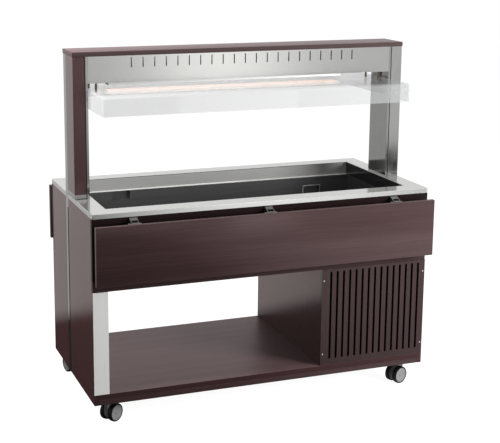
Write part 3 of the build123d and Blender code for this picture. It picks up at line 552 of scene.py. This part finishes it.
def piece(name, bm, body, materials, stands_for=()):
    """Turn a finished bmesh into a piece that rides on a CAD body."""
    bm.normal_update()
    for face in bm.faces:
        face.smooth = True
    for edge in bm.edges:
        edge.smooth = edge.calc_face_angle(0.0) < SHARP_TURN
    mesh = bpy.data.meshes.new(name)
    bm.to_mesh(mesh)
    bm.free()
    for material in materials:
        mesh.materials.append(material)
    made = bpy.data.objects.new(name, mesh)
    bpy.context.scene.collection.objects.link(made)
    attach(made, body)
    if stands_for:
        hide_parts(*stands_for)
    return made


def edges_at(verts):
    """All edges that end at these vertices."""
    return list({edge for vert in verts for edge in vert.link_edges})


def corners(bm):
    """The edges where a mesh turns a corner."""
    return [edge for edge in bm.edges if edge.calc_face_angle(0.0) > CORNER_TURN]


def bevel(bm, edges, offset, segments=2):
    """Round edges with an even profile."""
    bmesh.ops.bevel(
        bm, geom=edges, offset=offset, segments=segments, profile=0.5, affect="EDGES", material=-1
    )


def bar(bm, low, high, place=None):
    """Add a rectangular bar between two corners, and place it."""
    low, high = Vector(low), Vector(high)
    verts = bmesh.ops.create_cube(bm, size=1.0)["verts"]
    bmesh.ops.scale(bm, vec=high - low, verts=verts)
    bmesh.ops.translate(bm, vec=(low + high) / 2, verts=verts)
    if place:
        bmesh.ops.transform(bm, matrix=place, verts=verts)
    return verts


def join(bm, part, place):
    """Move a finished part to its place in a bmesh."""
    bmesh.ops.transform(part, matrix=place, verts=part.verts)
    copy = bpy.data.meshes.new("placed_part")
    part.to_mesh(copy)
    part.free()
    bm.from_mesh(copy)
    bpy.data.meshes.remove(copy)


def turned(bm, points, place, steps=48):
    """Add a turned shape from a few (radius, height) points in millimetres.

    It is closed where its ends meet each other or the axis.
    """
    part = bmesh.new()
    verts = [part.verts.new((radius * MM, 0.0, height * MM)) for radius, height in points]
    edges = [part.edges.new(pair) for pair in zip(verts, verts[1:])]
    bmesh.ops.spin(
        part, geom=verts + edges, cent=(0, 0, 0), axis=(0, 0, 1), angle=math.tau, steps=steps, use_merge=True
    )
    bmesh.ops.remove_doubles(part, verts=part.verts, dist=0.001 * MM)
    bmesh.ops.recalc_face_normals(part, faces=part.faces)
    join(bm, part, place)


def pointing(place, direction):
    """Matrix that stands a +Z shape at a place along a direction."""
    return Matrix.Translation(place) @ Vector(direction).to_track_quat("Z", "Y").to_matrix().to_4x4()


def screw_head(bm, place, radius, height):
    """Add a pan head with a cross recess, its seat at the matrix's origin and its crown along +Z."""
    part = bmesh.new()
    bmesh.ops.create_grid(part, x_segments=3, y_segments=3, size=radius * 0.5)
    # The grid's inner lines are drawn together, so that its middle faces make a narrow cross
    for vert in part.verts:
        vert.co = Vector(c * (0.36 if abs(c) < radius * 0.3 else 1.0) for c in vert.co)
        vert.co.z = height
    cross = [f for f in part.faces if min(abs(c) for c in f.calc_center_median()[:2]) < radius * 0.05]
    crown = [e for e in part.edges if e.is_boundary]
    ring = bmesh.ops.create_circle(part, cap_ends=False, radius=radius, segments=12)["verts"]
    bmesh.ops.rotate(part, cent=(0, 0, 0), matrix=Matrix.Rotation(math.radians(45), 3, "Z"), verts=ring)
    bmesh.ops.translate(part, vec=(0, 0, height * 0.45), verts=ring)
    rim = edges_at(ring)
    bmesh.ops.bridge_loops(part, edges=crown + rim)
    skirt = bmesh.ops.extrude_edge_only(part, edges=rim)["geom"]
    for vert in (v for v in skirt if isinstance(v, bmesh.types.BMVert)):
        vert.co.z = 0.0
    bmesh.ops.inset_region(part, faces=cross, thickness=radius * 0.03, depth=-height * 0.6)
    bmesh.ops.recalc_face_normals(part, faces=part.faces)
    join(bm, part, place)


def banded_board(name, node, thin, laminate, body):
    """A board with banded edges: laminate on its two faces and band all round, eased edges."""
    low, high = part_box(node)
    bm = bmesh.new()
    bar(bm, low, high)
    bevel(bm, bm.edges[:], sizes().flap_round, 3)
    bm.normal_update()
    for face in bm.faces:
        face.material_index = 0 if abs(face.normal[AXES[thin]]) > 0.99 else 1
    piece(name, bm, body, [laminate, edge_band()], [node])


class TROLLEY_OT_boards(bpy.types.Operator):
    """Give the carcass boards their wenge laminate and eased edges"""

    bl_idname = "trolley.boards"
    bl_label = "Boards"

    def execute(self, context):
        # The deck laminate is painted paler, painted light
        deck = deck_laminate()
        # Painted shade: the grilles get the laminate at a little over half its tone
        dress(wenge("Z", tone=0.55), "front_grille", "rear_grille")
        # Painted shade: the end boards get the laminate at four fifths of its tone
        dress(wenge("Z", 0.4, RED_GLOSS, sheen=0.12, tone=0.8), *END_BOARDS)
        dress(wenge("Z", 0.6, "#ffd0d0"), *CLADDINGS)
        dress(wenge("Z", 0.55, RED_GLOSS, sheen=0.3), "compartment_wall")
        dress(wenge("X"), "base_lower_board", "niche_ceiling")
        dress(deck, "base_deck")
        dress(apron_laminate(), *APRONS)
        dress(plain("raw_chipboard"), "worktop_core")
        soften(
            sizes().board_round, *END_BOARDS, *CLADDINGS, *APRONS, "compartment_wall",
            "base_lower_board", "base_deck", "niche_ceiling",
        )
        # The top board takes the deck's laminate, painted paler as painted light
        banded_board("canopy_top_board", "top_board", "Z", deck, "trolley")
        return {"FINISHED"}


class TROLLEY_OT_flaps(bpy.types.Operator):
    """Build the two folding flaps with banded edges"""

    bl_idname = "trolley.flaps"
    bl_label = "Flaps"

    def execute(self, context):
        for side, _ in LONG_SIDES:
            banded_board(f"{side}_flap_panel", f"{side}_flap", "Y", wenge("X"), f"{side}_flap")
        return {"FINISHED"}


class TROLLEY_OT_hinges(bpy.types.Operator):
    """Finish the flap hinges and add their screws"""

    bl_idname = "trolley.hinges"
    bl_label = "Hinges"

    def execute(self, context):
        sheets = ("flap_brackets", "front_flap_arms", "rear_flap_arms")
        dress(zinc_steel(), "flap_pivot_pins", *sheets)
        soften(sizes().sheet_round, *sheets)
        nickel = [plain("nickel_plated_screw")]
        radius, height = 3.6 * MM, 1.4 * MM
        sheet, half_arm, half_pitch = 3 * MM, 12 * MM, 6 * MM
        low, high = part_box("front_flap_arms")
        arms = (low.x + half_arm, (low.x + high.x) / 2, high.x - half_arm)
        wall = abs(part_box("front_apron")[0].y) + sheet
        leaf = abs(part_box("front_flap")[1].y) - sheet
        fixed = bmesh.new()
        for side, sign in LONG_SIDES:
            moving = bmesh.new()
            for x in arms:
                for step in (-half_pitch, half_pitch):
                    seat = pointing((x + step, sign * wall, BRACKET_SCREW_HEIGHT), (0, sign, 0))
                    screw_head(fixed, seat, radius, height)
                for z in ARM_SCREW_HEIGHTS:
                    screw_head(moving, pointing((x, sign * leaf, z), (0, -sign, 0)), radius, height)
            piece(f"{side}_flap_arm_screws", moving, f"{side}_flap", nickel)
        piece("flap_bracket_screws", fixed, "trolley", nickel)
        return {"FINISHED"}


class TROLLEY_OT_grille_screws(bpy.types.Operator):
    """Build the cross-head screws that hold the grilles"""

    bl_idname = "trolley.grille_screws"
    bl_label = "Grille screws"

    def execute(self, context):
        size = sizes()
        low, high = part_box("grille_screws")
        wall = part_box("front_grille")[0].y
        bm = bmesh.new()
        inset = size.screw_radius
        for x in (low.x + inset, high.x - inset):
            for z in (low.z + inset, high.z - inset):
                for sign in (-1, 1):
                    seat = pointing((x, -sign * wall, z), (0, sign, 0))
                    screw_head(bm, seat, size.screw_radius, size.screw_height)
        nickel = [plain("nickel_plated_screw")]
        piece("grille_screw_heads", bm, "trolley", nickel, ["grille_screws"])
        return {"FINISHED"}


class TROLLEY_OT_steelwork(bpy.types.Operator):
    """Finish the rim, the columns, the liners and the lamp housing"""

    bl_idname = "trolley.steelwork"
    bl_label = "Steelwork"

    def execute(self, context):
        dress(rim_steel(), "top_frame")
        dress(satin_steel(), "lamp_housing")
        dress(liner_steel(), "left_wall_liner")
        # The columns get the lighter copy of the polished stainless: painted light
        dress(polished_steel("column"), "left_column", "right_column")
        dress(polished_steel(), "left_post_liner", "right_post_liner", "post_collars")
        soften(
            sizes().sheet_round, "left_column", "right_column", "left_post_liner", "right_post_liner",
            "post_collars", "left_wall_liner", "top_frame",
        )
        self.seals()
        return {"FINISHED"}

    def seals(self):
        """Black strips in the joints between the columns and the end boards beside them, in the rubber finish:
        painted shade of the dark gap there.
        """
        bm = bmesh.new()
        # Painted shade: each strip stands in for the dark gap beside a column
        width, sunk, proud, room = 12 * MM, 1 * MM, 0.5 * MM, 2 * MM
        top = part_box("top_frame")[0].z - 1 * MM
        for side, sign in (("left", -1), ("right", 1)):
            low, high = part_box(f"{side}_column")
            corner = low if sign < 0 else high
            xs = sorted((corner.x - sign * sunk, corner.x + sign * proud))
            ys = sorted((corner.y, corner.y - sign * width))
            verts = bar(bm, (xs[0], ys[0], low.z + room), (xs[1], ys[1], top))
            bevel(bm, edges_at(verts), 0.4 * MM)
        piece("column_seals", bm, "trolley", [tyre_rubber()])


class TROLLEY_OT_well(bpy.types.Operator):
    """Finish the cold well and build its drain grate"""

    bl_idname = "trolley.well"
    bl_label = "Cold well"

    def execute(self, context):
        dress(well_steel(), "well_tub")
        dress(plain("rigid_polyurethane_foam"), "well_insulation")
        dress(brushed_steel("Z"), "drain_pipe")
        low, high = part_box("drain_pipe")
        middle = (low + high) / 2
        place = Matrix.Translation((middle.x, middle.y, high.z))
        bm = bmesh.new()
        turned(bm, [(20, 0), (20, 2.4), (27, 2.4), (28.5, 0), (20, 0)], place, 40)
        mouth, pitch, half_bar = 20.5 * MM, 7.5 * MM, 1.5 * MM
        for step in range(-2, 3):
            y = step * pitch
            reach = math.sqrt(mouth**2 - y**2)
            verts = bar(bm, (-reach, y - half_bar, 0.2 * MM), (reach, y + half_bar, 2.2 * MM), place)
            bevel(bm, edges_at(verts), 0.5 * MM)
        piece("drain_grate", bm, "trolley", [polished_steel()])
        self.pocket_frames()
        return {"FINISHED"}

    def pocket_frames(self):
        """Thin steel frames round the two sensor pockets in the well's long walls."""
        bm = bmesh.new()
        half_x, half_y, half_z, lip = 44 * MM, 0.9 * MM, 24 * MM, 4.5 * MM
        x, y, z = POCKET_MIDDLE
        for sign in (-1, 1):
            place = Matrix.Translation((sign * x, sign * (y - half_y), z))
            verts = bar(bm, (-half_x, -half_y, -half_z), (half_x, half_y, half_z), place)
            faces = [f for f in {f for v in verts for f in v.link_faces} if abs(f.normal.y) > 0.9]
            bmesh.ops.inset_individual(bm, faces=faces, thickness=lip, depth=0.0)
            rims = [edge for face in faces for edge in face.edges]
            bmesh.ops.delete(bm, geom=faces, context="FACES_ONLY")
            bmesh.ops.bridge_loops(bm, edges=rims)
        bmesh.ops.recalc_face_normals(bm, faces=bm.faces)
        bevel(bm, corners(bm), 0.4 * MM)
        piece("sensor_pocket_frames", bm, "trolley", [brushed_steel("X", 0.3)])


class TROLLEY_OT_canopy(bpy.types.Operator):
    """Finish the lamp, the clear guard and its standoffs"""

    bl_idname = "trolley.canopy"
    bl_label = "Canopy"

    def execute(self, context):
        dress(clear_acrylic(), "guard")
        # Clear plastic lets the light of the lamps through
        NODES["guard"].visible_shadow = False
        dress(plain("turned_bronze"), "guard_standoffs")
        self.lamp_lens()
        return {"FINISHED"}

    def lamp_lens(self):
        """The opal lens under the lamp in a white frame, set a little to the left."""
        low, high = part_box("lamp_panel")
        half, depth, border, sunk = 44 * MM, 14 * MM, 2 * MM, 1 * MM
        left, right = low.x - 40 * MM, high.x - 80 * MM
        bm = bmesh.new()
        bar(bm, (left, -half, high.z - depth), (right, half, high.z))
        bm.normal_update()
        under = [f for f in bm.faces if f.normal.z < -0.9]
        bmesh.ops.inset_individual(bm, faces=under, thickness=border, depth=-sunk)
        for face in bm.faces:
            face.material_index = 0 if face in under else 1
        bevel(bm, corners(bm), 0.5 * MM)
        finishes = [lamp_opal(), plain("white_stoving_enamel")]
        lens = piece("heat_lamp_lens", bm, "trolley", finishes, ["lamp_panel"])
        # The lamp glows, but the softboxes light the well
        lens.visible_diffuse = False


class TROLLEY_OT_casters(bpy.types.Operator):
    """Build the twin wheels and the plate bolts of the four casters"""

    bl_idname = "trolley.casters"
    bl_label = "Casters"

    def execute(self, context):
        dress(zinc_steel(), "caster_plates")
        spread, radius, thick = 24 * MM, 6.5 * MM, 4 * MM
        bolts = bmesh.new()
        for name in CASTERS:
            dress(caster_nylon(), f"{name}_caster_body")
            soften(1.2 * MM, f"{name}_caster_body")
            self.wheels(name)
            stem = Vector(JOINTS[f"{name}_swivel_turn"]["pos_m"])
            for dx in (-spread, spread):
                for dy in (-spread, spread):
                    middle = (stem.x + dx, stem.y + dy, CASTER_PLATE_UNDER - thick / 2)
                    part = bmesh.ops.create_cone(
                        bolts, cap_ends=True, segments=6, radius1=radius, radius2=radius, depth=thick,
                        matrix=Matrix.Translation(middle),
                    )["verts"]
                    bevel(bolts, edges_at(part), 0.6 * MM)
        piece("caster_plate_bolts", bolts, "trolley", [zinc_steel()])
        return {"FINISHED"}

    def wheels(self, name):
        """One caster's two tyres and two hub discs."""
        joint = JOINTS[f"{name}_wheel_roll"]
        middle, axis = Vector(joint["pos_m"]), Vector(joint["axis"])
        low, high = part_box(f"{name}_caster_tyres")
        # In millimetres: the tread, the hub under it, the wheel's two sides and the groove round its middle
        radius = (high.z - low.z) / 2 / MM
        bore, start, width = radius - 6, 10, 21
        inner, groove = 0.4, width / 2
        tyre_points = [
            (bore, inner), (radius, inner), (radius, groove - 0.8), (radius - 0.7, groove),
            (radius, groove + 0.8), (radius, width), (bore, width), (bore, inner),
        ]
        hub_points = [
            (0, 0.6), (bore - 0.1, 0.6), (bore - 0.1, width - 1.2), (bore - 1.6, width - 0.4),
            (bore - 3.6, width - 0.4), (bore - 4.6, width - 1.6), (11, width - 1.2), (9.6, width - 1.9),
            (8.8, width - 0.9), (5, width - 0.3), (0, width - 0.2),
        ]
        tyres, hubs = bmesh.new(), bmesh.new()
        for side in (-1, 1):
            place = pointing(middle + side * axis * start * MM, side * axis)
            turned(tyres, tyre_points, place)
            turned(hubs, hub_points, place)
        near, ends = 0.05 * MM, ((start + inner) * MM, (start + width) * MM)

        def at_shoulder(vert):
            away = vert.co - middle
            along = abs(away.dot(axis))
            on_tread = abs(away.cross(axis).length - radius * MM) < near
            return on_tread and min(abs(along - end) for end in ends) < near

        shoulders = [
            edge for edge in tyres.edges
            if all(at_shoulder(vert) for vert in edge.verts)
            and abs((edge.verts[0].co - edge.verts[1].co).dot(axis)) < 0.01 * MM
        ]
        bevel(tyres, shoulders, sizes().tread_round, 4)
        body = f"{name}_wheels"
        piece(f"{name}_tyres", tyres, body, [tyre_rubber()], [f"{name}_caster_tyres"])
        piece(f"{name}_hub_discs", hubs, body, [caster_nylon()], [f"{name}_caster_hubs"])


class TROLLEY_OT_cooling_set(bpy.types.Operator):
    """Finish the cooling set behind the grilles"""

    bl_idname = "trolley.cooling_set"
    bl_label = "Cooling set"

    def execute(self, context):
        dress(plain("black_stoving_enamel"), "compressor", "fan_motor")
        dress(plain("rolled_aluminium_fin"), "condenser")
        dress(plain("galvanised_sheet"), "fan_shroud")
        dress(plain("moulded_black_abs"), "fan_blades")
        dress(plain("drawn_copper_tube"), "refrigerant_pipes")
        for side, sign in LONG_SIDES:
            self.filter_mat(side, sign)
        return {"FINISHED"}

    def filter_mat(self, side, sign):
        """A dust filter in a thin frame behind a grille's slots."""
        gap, room, thick, border, sunk = 0.5 * MM, 2 * MM, 5 * MM, 9 * MM, 1.5 * MM
        low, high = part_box(f"{side}_grille")
        left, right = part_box("compartment_wall")[1].x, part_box("right_front_end_board")[0].x
        back = (high.y if sign < 0 else low.y) - sign * gap
        ends = sorted((back, back - sign * thick))
        bm = bmesh.new()
        bar(bm, (left + room, ends[0], low.z + room), (right - room, ends[1], high.z - room))
        broad = [f for f in bm.faces if abs(f.normal.y) > 0.9]
        bmesh.ops.inset_individual(bm, faces=broad, thickness=border, depth=-sunk)
        bevel(bm, corners(bm), 0.4 * MM)
        piece(f"{side}_dust_filter", bm, "trolley", [plain("black_open_cell_filter_foam")])


class TROLLEY_OT_controls(bpy.types.Operator):
    """Finish the control panel and build its marks, segments and buttons"""

    bl_idname = "trolley.controls"
    bl_label = "Controls"

    # Lit segments of a figure: a top, b and c right, d bottom, e and f left, g middle
    figures = {"0": "abcdef", "4": "bcfg"}

    def execute(self, context):
        switches = ("cooling_switch", "light_switch")
        dress(plain("moulded_black_abs"), "control_panel", *switches)
        soften(0.5 * MM, "control_panel", *switches)
        dress(plain("smoked_polycarbonate_lens"), "thermostat_display")
        for name in switches:
            self.rocker_marks(name)
        low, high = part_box("thermostat_display")
        middle = (low + high) / 2
        figure_pitch, button_pitch, button_drop = 13 * MM, 14 * MM, 9 * MM
        lit = bmesh.new()
        for step, figure in enumerate("04"):
            self.figure(lit, figure, Vector((high.x, middle.y + (step - 0.5) * figure_pitch, middle.z)))
        piece("display_segments", lit, "trolley", [plain("lit_red_segment")])
        buttons = bmesh.new()
        for step in range(4):
            seat = Vector((high.x, middle.y + (step - 1.5) * button_pitch, low.z - button_drop))
            turned(buttons, [(4.2, 0), (4.2, 0.7), (3.6, 1.1), (0, 0.9)], pointing(seat, (1, 0, 0)), 24)
        piece("thermostat_buttons", buttons, "trolley", [caster_nylon()])
        return {"FINISHED"}

    def figure(self, bm, figure, middle):
        """One seven-segment figure on the lens."""
        wide, high, half, thick = 3.2 * MM, 5.2 * MM, 0.6 * MM, 0.15 * MM
        # Each segment's middle, and whether it lies level
        spots = {
            "a": (0, high, True), "g": (0, 0, True), "d": (0, -high, True),
            "b": (wide, high / 2, False), "c": (wide, -high / 2, False),
            "e": (-wide, -high / 2, False), "f": (-wide, high / 2, False),
        }
        for key in self.figures[figure]:
            y, z, level = spots[key]
            a, b = (wide - half, half) if level else (half, high / 2 - half)
            bar(bm, (0, y - a, z - b), (thick, y + a, z + b), Matrix.Translation(middle))

    def rocker_marks(self, name):
        """A bar for on and a ring for off, printed on a rocker."""
        # A rocker rests tipped by 8 degrees, and each half of its face falls 1.5 mm over 11.5 mm
        tipped, slope = math.radians(8), math.atan2(1.5, 11.5)
        pivot = Matrix.Translation(JOINTS[f"{name}_rock"]["pos_m"]) @ Matrix.Rotation(tipped, 4, "Y")
        out, up, half, ink = 4.3 * MM, 6 * MM, Vector((0, 0.5, 2.6)) * MM, Vector((0.12, 0, 0)) * MM
        bm = bmesh.new()
        on = pivot @ Matrix.Translation((out, 0, up)) @ Matrix.Rotation(slope, 4, "Y")
        bar(bm, -half, half + ink, on)
        off = pivot @ Matrix.Translation((out, 0, -up)) @ Matrix.Rotation(-slope, 4, "Y")
        ring = [(1.9, 0), (1.9, 0.12), (2.8, 0.12), (2.8, 0), (1.9, 0)]
        turned(bm, ring, off @ Matrix.Rotation(math.radians(90), 4, "Y"), 28)
        piece(f"{name}_marks", bm, name, [plain("white_pad_print_ink")])


class TROLLEY_OT_stage(bpy.types.Operator):
    """Set the floor, the lamps, the background and the camera"""

    bl_idname = "trolley.stage"
    bl_label = "Stage"

    # Softboxes: where each stands, where it looks, its width, and the height of one that metal mirrors
    softboxes = {
        "key": ((-1.9, -0.1, 2.4), (-0.7, 0, 0.8), 1.0, 0.0),
        "fill": ((2.2, -2.3, 1.4), (0.4, 0, 0.9), 1.2, 0.0),
        "top": ((0.3, 0.2, 4.2), (0, 0, 0.8), 3.0, 0.0),
        "back": ((1.5, 4.0, 2.6), (0, 0, 0.8), 2.6, 0.0),
        "front": ((1.78, -5.1, 1.5), (0.1, -0.1, 1.5), 1.0, 3.0),
    }

    def execute(self, context):
        scene = context.scene
        stage = scene.trolley_stage
        scene.view_settings.view_transform = "Standard"
        self.floor()
        self.world(stage.ambient)
        for name in self.softboxes:
            self.softbox(name, getattr(stage, f"{name}_power"))
        scene.camera = self.camera(stage)
        return {"FINISHED"}

    def camera(self, stage):
        """A camera at the photograph's viewing angle, with the solved lens."""
        lens = bpy.data.cameras.new("photo_camera")
        camera = bpy.data.objects.new("photo_camera", lens)
        bpy.context.scene.collection.objects.link(camera)
        a, e, r = stage.camera_turn, stage.camera_rise, stage.camera_roll
        back = Vector((math.sin(a) * math.cos(e), -math.cos(a) * math.cos(e), math.sin(e)))
        level = Vector((math.cos(a), math.sin(a), 0))
        rise = back.cross(level)
        right = math.cos(r) * level + math.sin(r) * rise
        up = -math.sin(r) * level + math.cos(r) * rise
        turn = Matrix((right, up, back)).transposed().to_4x4()
        camera.matrix_world = Matrix.Translation(stage.camera_place) @ turn
        lens.sensor_fit = "HORIZONTAL"
        lens.sensor_width = SENSOR_WIDTH
        lens.lens = FOCAL_LENGTH / PHOTO_WIDTH * SENSOR_WIDTH
        lens.shift_x = (PHOTO_WIDTH / 2 - LENS_CENTRE[0]) / PHOTO_WIDTH
        lens.shift_y = (LENS_CENTRE[1] - PHOTO_HEIGHT / 2) / PHOTO_WIDTH
        return camera

    def softbox(self, name, watts):
        """A soft lamp that looks at a point; a tall one is also seen in metal and clear plastic."""
        place, aim, width, height = self.softboxes[name]
        light = bpy.data.lights.new(f"{name}_softbox", "AREA")
        light.size = width
        if height:
            light.shape = "RECTANGLE"
            light.size_y = height
        light.energy = watts
        lamp = bpy.data.objects.new(f"{name}_softbox", light)
        lamp.location = place
        lamp.visible_glossy = height > 0
        lamp.rotation_euler = (Vector(aim) - Vector(place)).to_track_quat("-Z", "Y").to_euler()
        bpy.context.scene.collection.objects.link(lamp)

    def seen(self, tree, painted_mirror_share=None):
        """One where the eye, a mirror or clear plastic sees the surface, and zero for other light."""
        path = add(tree, "ShaderNodeLightPath").outputs
        mirrored = path["Is Glossy Ray"]
        if painted_mirror_share:
            both = {0: mirrored, 1: painted_mirror_share}
            mirrored = add(tree, "ShaderNodeMath", {"operation": "MULTIPLY"}, both).outputs[0]
        seen = path["Is Camera Ray"]
        highest = {"operation": "MAXIMUM", "use_clamp": True}
        for ray in (mirrored, path["Transmission Depth"], path["Is Transmission Ray"]):
            seen = add(tree, "ShaderNodeMath", highest, {0: seen, 1: ray}).outputs[0]
        return seen

    def painted_mirror_share(self, tree):
        """How white the floor is in mirrors, painted by place: painted shade near the trolley and in a dim
        patch, bright paper round it and painted light far behind.
        """
        where = add(tree, "ShaderNodeTexCoord").outputs["Object"]
        flat = add(tree, "ShaderNodeSeparateXYZ", None, {"Vector": where}).outputs
        x, y = flat["X"], flat["Y"]
        slanted = {"operation": "MULTIPLY_ADD", 1: 0.28}
        slant = add(tree, "ShaderNodeMath", slanted, {0: x, 2: y}).outputs[0]
        # A painted dim patch far out in front on the right, painted shade that the foot of the right column
        # mirrors
        patch = {"operation": "DISTANCE", 1: (3.05, -4.2, 0.0)}
        away = add(tree, "ShaderNodeVectorMath", patch, {0: where}).outputs["Value"]
        # How each share joins those before it, what it follows, from and to in metres, and its two ends:
        # behind the trolley, less on the left there, more far out; on the right; on the left; off the patch
        ramps = (
            (None, slant, 0.7, 0.9, 0.0, 1.0),
            ("MULTIPLY", x, -0.9, -0.4, 0.37, 0.92),
            ("MULTIPLY", y, 0.9, 5.0, 0.8, 1.5),
            ("MAXIMUM", x, 0.0, 1.2, 0.0, 1.0),
            ("MAXIMUM", x, -1.5, -2.3, 0.0, 0.6),
            ("MULTIPLY", away, 0.45, 0.85, 0.0, 1.0),
        )
        whole = None
        for rule, value, start, end, low, high in ramps:
            ramp = {"From Min": start, "From Max": end, "To Min": low, "To Max": high}
            share = add(tree, "ShaderNodeMapRange", ramp, {"Value": value}).outputs["Result"]
            if rule:
                share = add(tree, "ShaderNodeMath", {"operation": rule}, {0: whole, 1: share}).outputs[0]
            whole = share
        return whole

    def floor(self):
        """A pale floor that keeps the shadow."""
        bm = bmesh.new()
        bmesh.ops.create_grid(bm, x_segments=8, y_segments=8, size=30.0)
        mesh = bpy.data.meshes.new("studio_floor")
        bm.to_mesh(mesh)
        bm.free()
        floor = bpy.data.objects.new("studio_floor", mesh)
        bpy.context.scene.collection.objects.link(floor)
        paper = bpy.data.materials.new("white_studio_paper")
        paper.use_nodes = True
        tree = paper.node_tree
        tree.nodes.clear()
        seen = self.seen(tree, self.painted_mirror_share(tree))
        tones = {"data_type": "RGBA", MIX_A: (0.03, 0.03, 0.03, 1), MIX_B: (0.9, 0.9, 0.9, 1)}
        shade = add(tree, "ShaderNodeMix", tones, {0: seen})
        matt = add(tree, "ShaderNodeBsdfDiffuse", None, {"Color": shade.outputs[MIX_OUT]})
        # To the eye the paper is a little brighter than in mirrors, so that it is white to the horizon
        white, eye_extra, glow_share = 1.2, 0.05, 0.76
        lifted = {"operation": "MULTIPLY_ADD", 1: eye_extra, 2: white}
        eye = add(tree, "ShaderNodeLightPath").outputs["Is Camera Ray"]
        strength = add(tree, "ShaderNodeMath", lifted, {0: eye})
        glow = add(tree, "ShaderNodeEmission", {"Color": (1, 1, 1, 1)}, {"Strength": strength.outputs[0]})
        share = add(tree, "ShaderNodeMath", {"operation": "MULTIPLY", 1: glow_share}, {0: seen})
        mix = add(
            tree, "ShaderNodeMixShader", None, {0: share.outputs[0], 1: matt.outputs[0], 2: glow.outputs[0]}
        )
        add(tree, "ShaderNodeOutputMaterial", None, {"Surface": mix.outputs[0]})
        mesh.materials.append(paper)

    def world(self, ambient):
        """White to the eye and in reflections, softer as a light."""
        world = bpy.data.worlds.new("white_studio")
        bpy.context.scene.world = world
        world.use_nodes = True
        tree = world.node_tree
        tree.nodes.clear()
        room = add(tree, "ShaderNodeBackground", {"Color": (1, 1, 1, 1), "Strength": ambient})
        white = add(tree, "ShaderNodeBackground", {"Color": (1, 1, 1, 1), "Strength": 1.0})
        mix = add(
            tree, "ShaderNodeMixShader", None, {0: self.seen(tree), 1: room.outputs[0], 2: white.outputs[0]}
        )
        add(tree, "ShaderNodeOutputWorld", None, {"Surface": mix.outputs[0]})


PIECES = (
    TROLLEY_OT_boards, TROLLEY_OT_flaps, TROLLEY_OT_hinges, TROLLEY_OT_grille_screws, TROLLEY_OT_steelwork,
    TROLLEY_OT_well, TROLLEY_OT_canopy, TROLLEY_OT_casters, TROLLEY_OT_cooling_set, TROLLEY_OT_controls,
    TROLLEY_OT_stage,
)


class TROLLEY_PT_panel(bpy.types.Panel):
    """Sidebar list of the trolley's pieces and values"""

    bl_idname = "TROLLEY_PT_panel"
    bl_label = "Buffet trolley"
    bl_space_type = "VIEW_3D"
    bl_region_type = "UI"
    bl_category = "Trolley"

    def draw(self, context):
        for made in PIECES:
            self.layout.operator(made.bl_idname)
        for name in GROUPS:
            group = getattr(context.scene, name)
            box = self.layout.box()
            for key in group.__annotations__:
                box.prop(group, key)


GROUPS = {"trolley_finish": TrolleyFinish, "trolley_sizes": TrolleySizes, "trolley_stage": TrolleyStage}
CLASSES = (*GROUPS.values(), *PIECES, TROLLEY_PT_panel)


def register():
    for made in CLASSES:
        bpy.utils.register_class(made)
    for name, group in GROUPS.items():
        setattr(bpy.types.Scene, name, bpy.props.PointerProperty(type=group))


def unregister():
    for name in GROUPS:
        delattr(bpy.types.Scene, name)
    for made in reversed(CLASSES):
        bpy.utils.unregister_class(made)


def main():
    register()
    bpy.ops.trolley.boards()
    bpy.ops.trolley.flaps()
    bpy.ops.trolley.hinges()
    bpy.ops.trolley.grille_screws()
    bpy.ops.trolley.steelwork()
    bpy.ops.trolley.well()
    bpy.ops.trolley.canopy()
    bpy.ops.trolley.casters()
    bpy.ops.trolley.cooling_set()
    bpy.ops.trolley.controls()
    bpy.ops.trolley.stage()


if __name__ == "__main__":
    main()
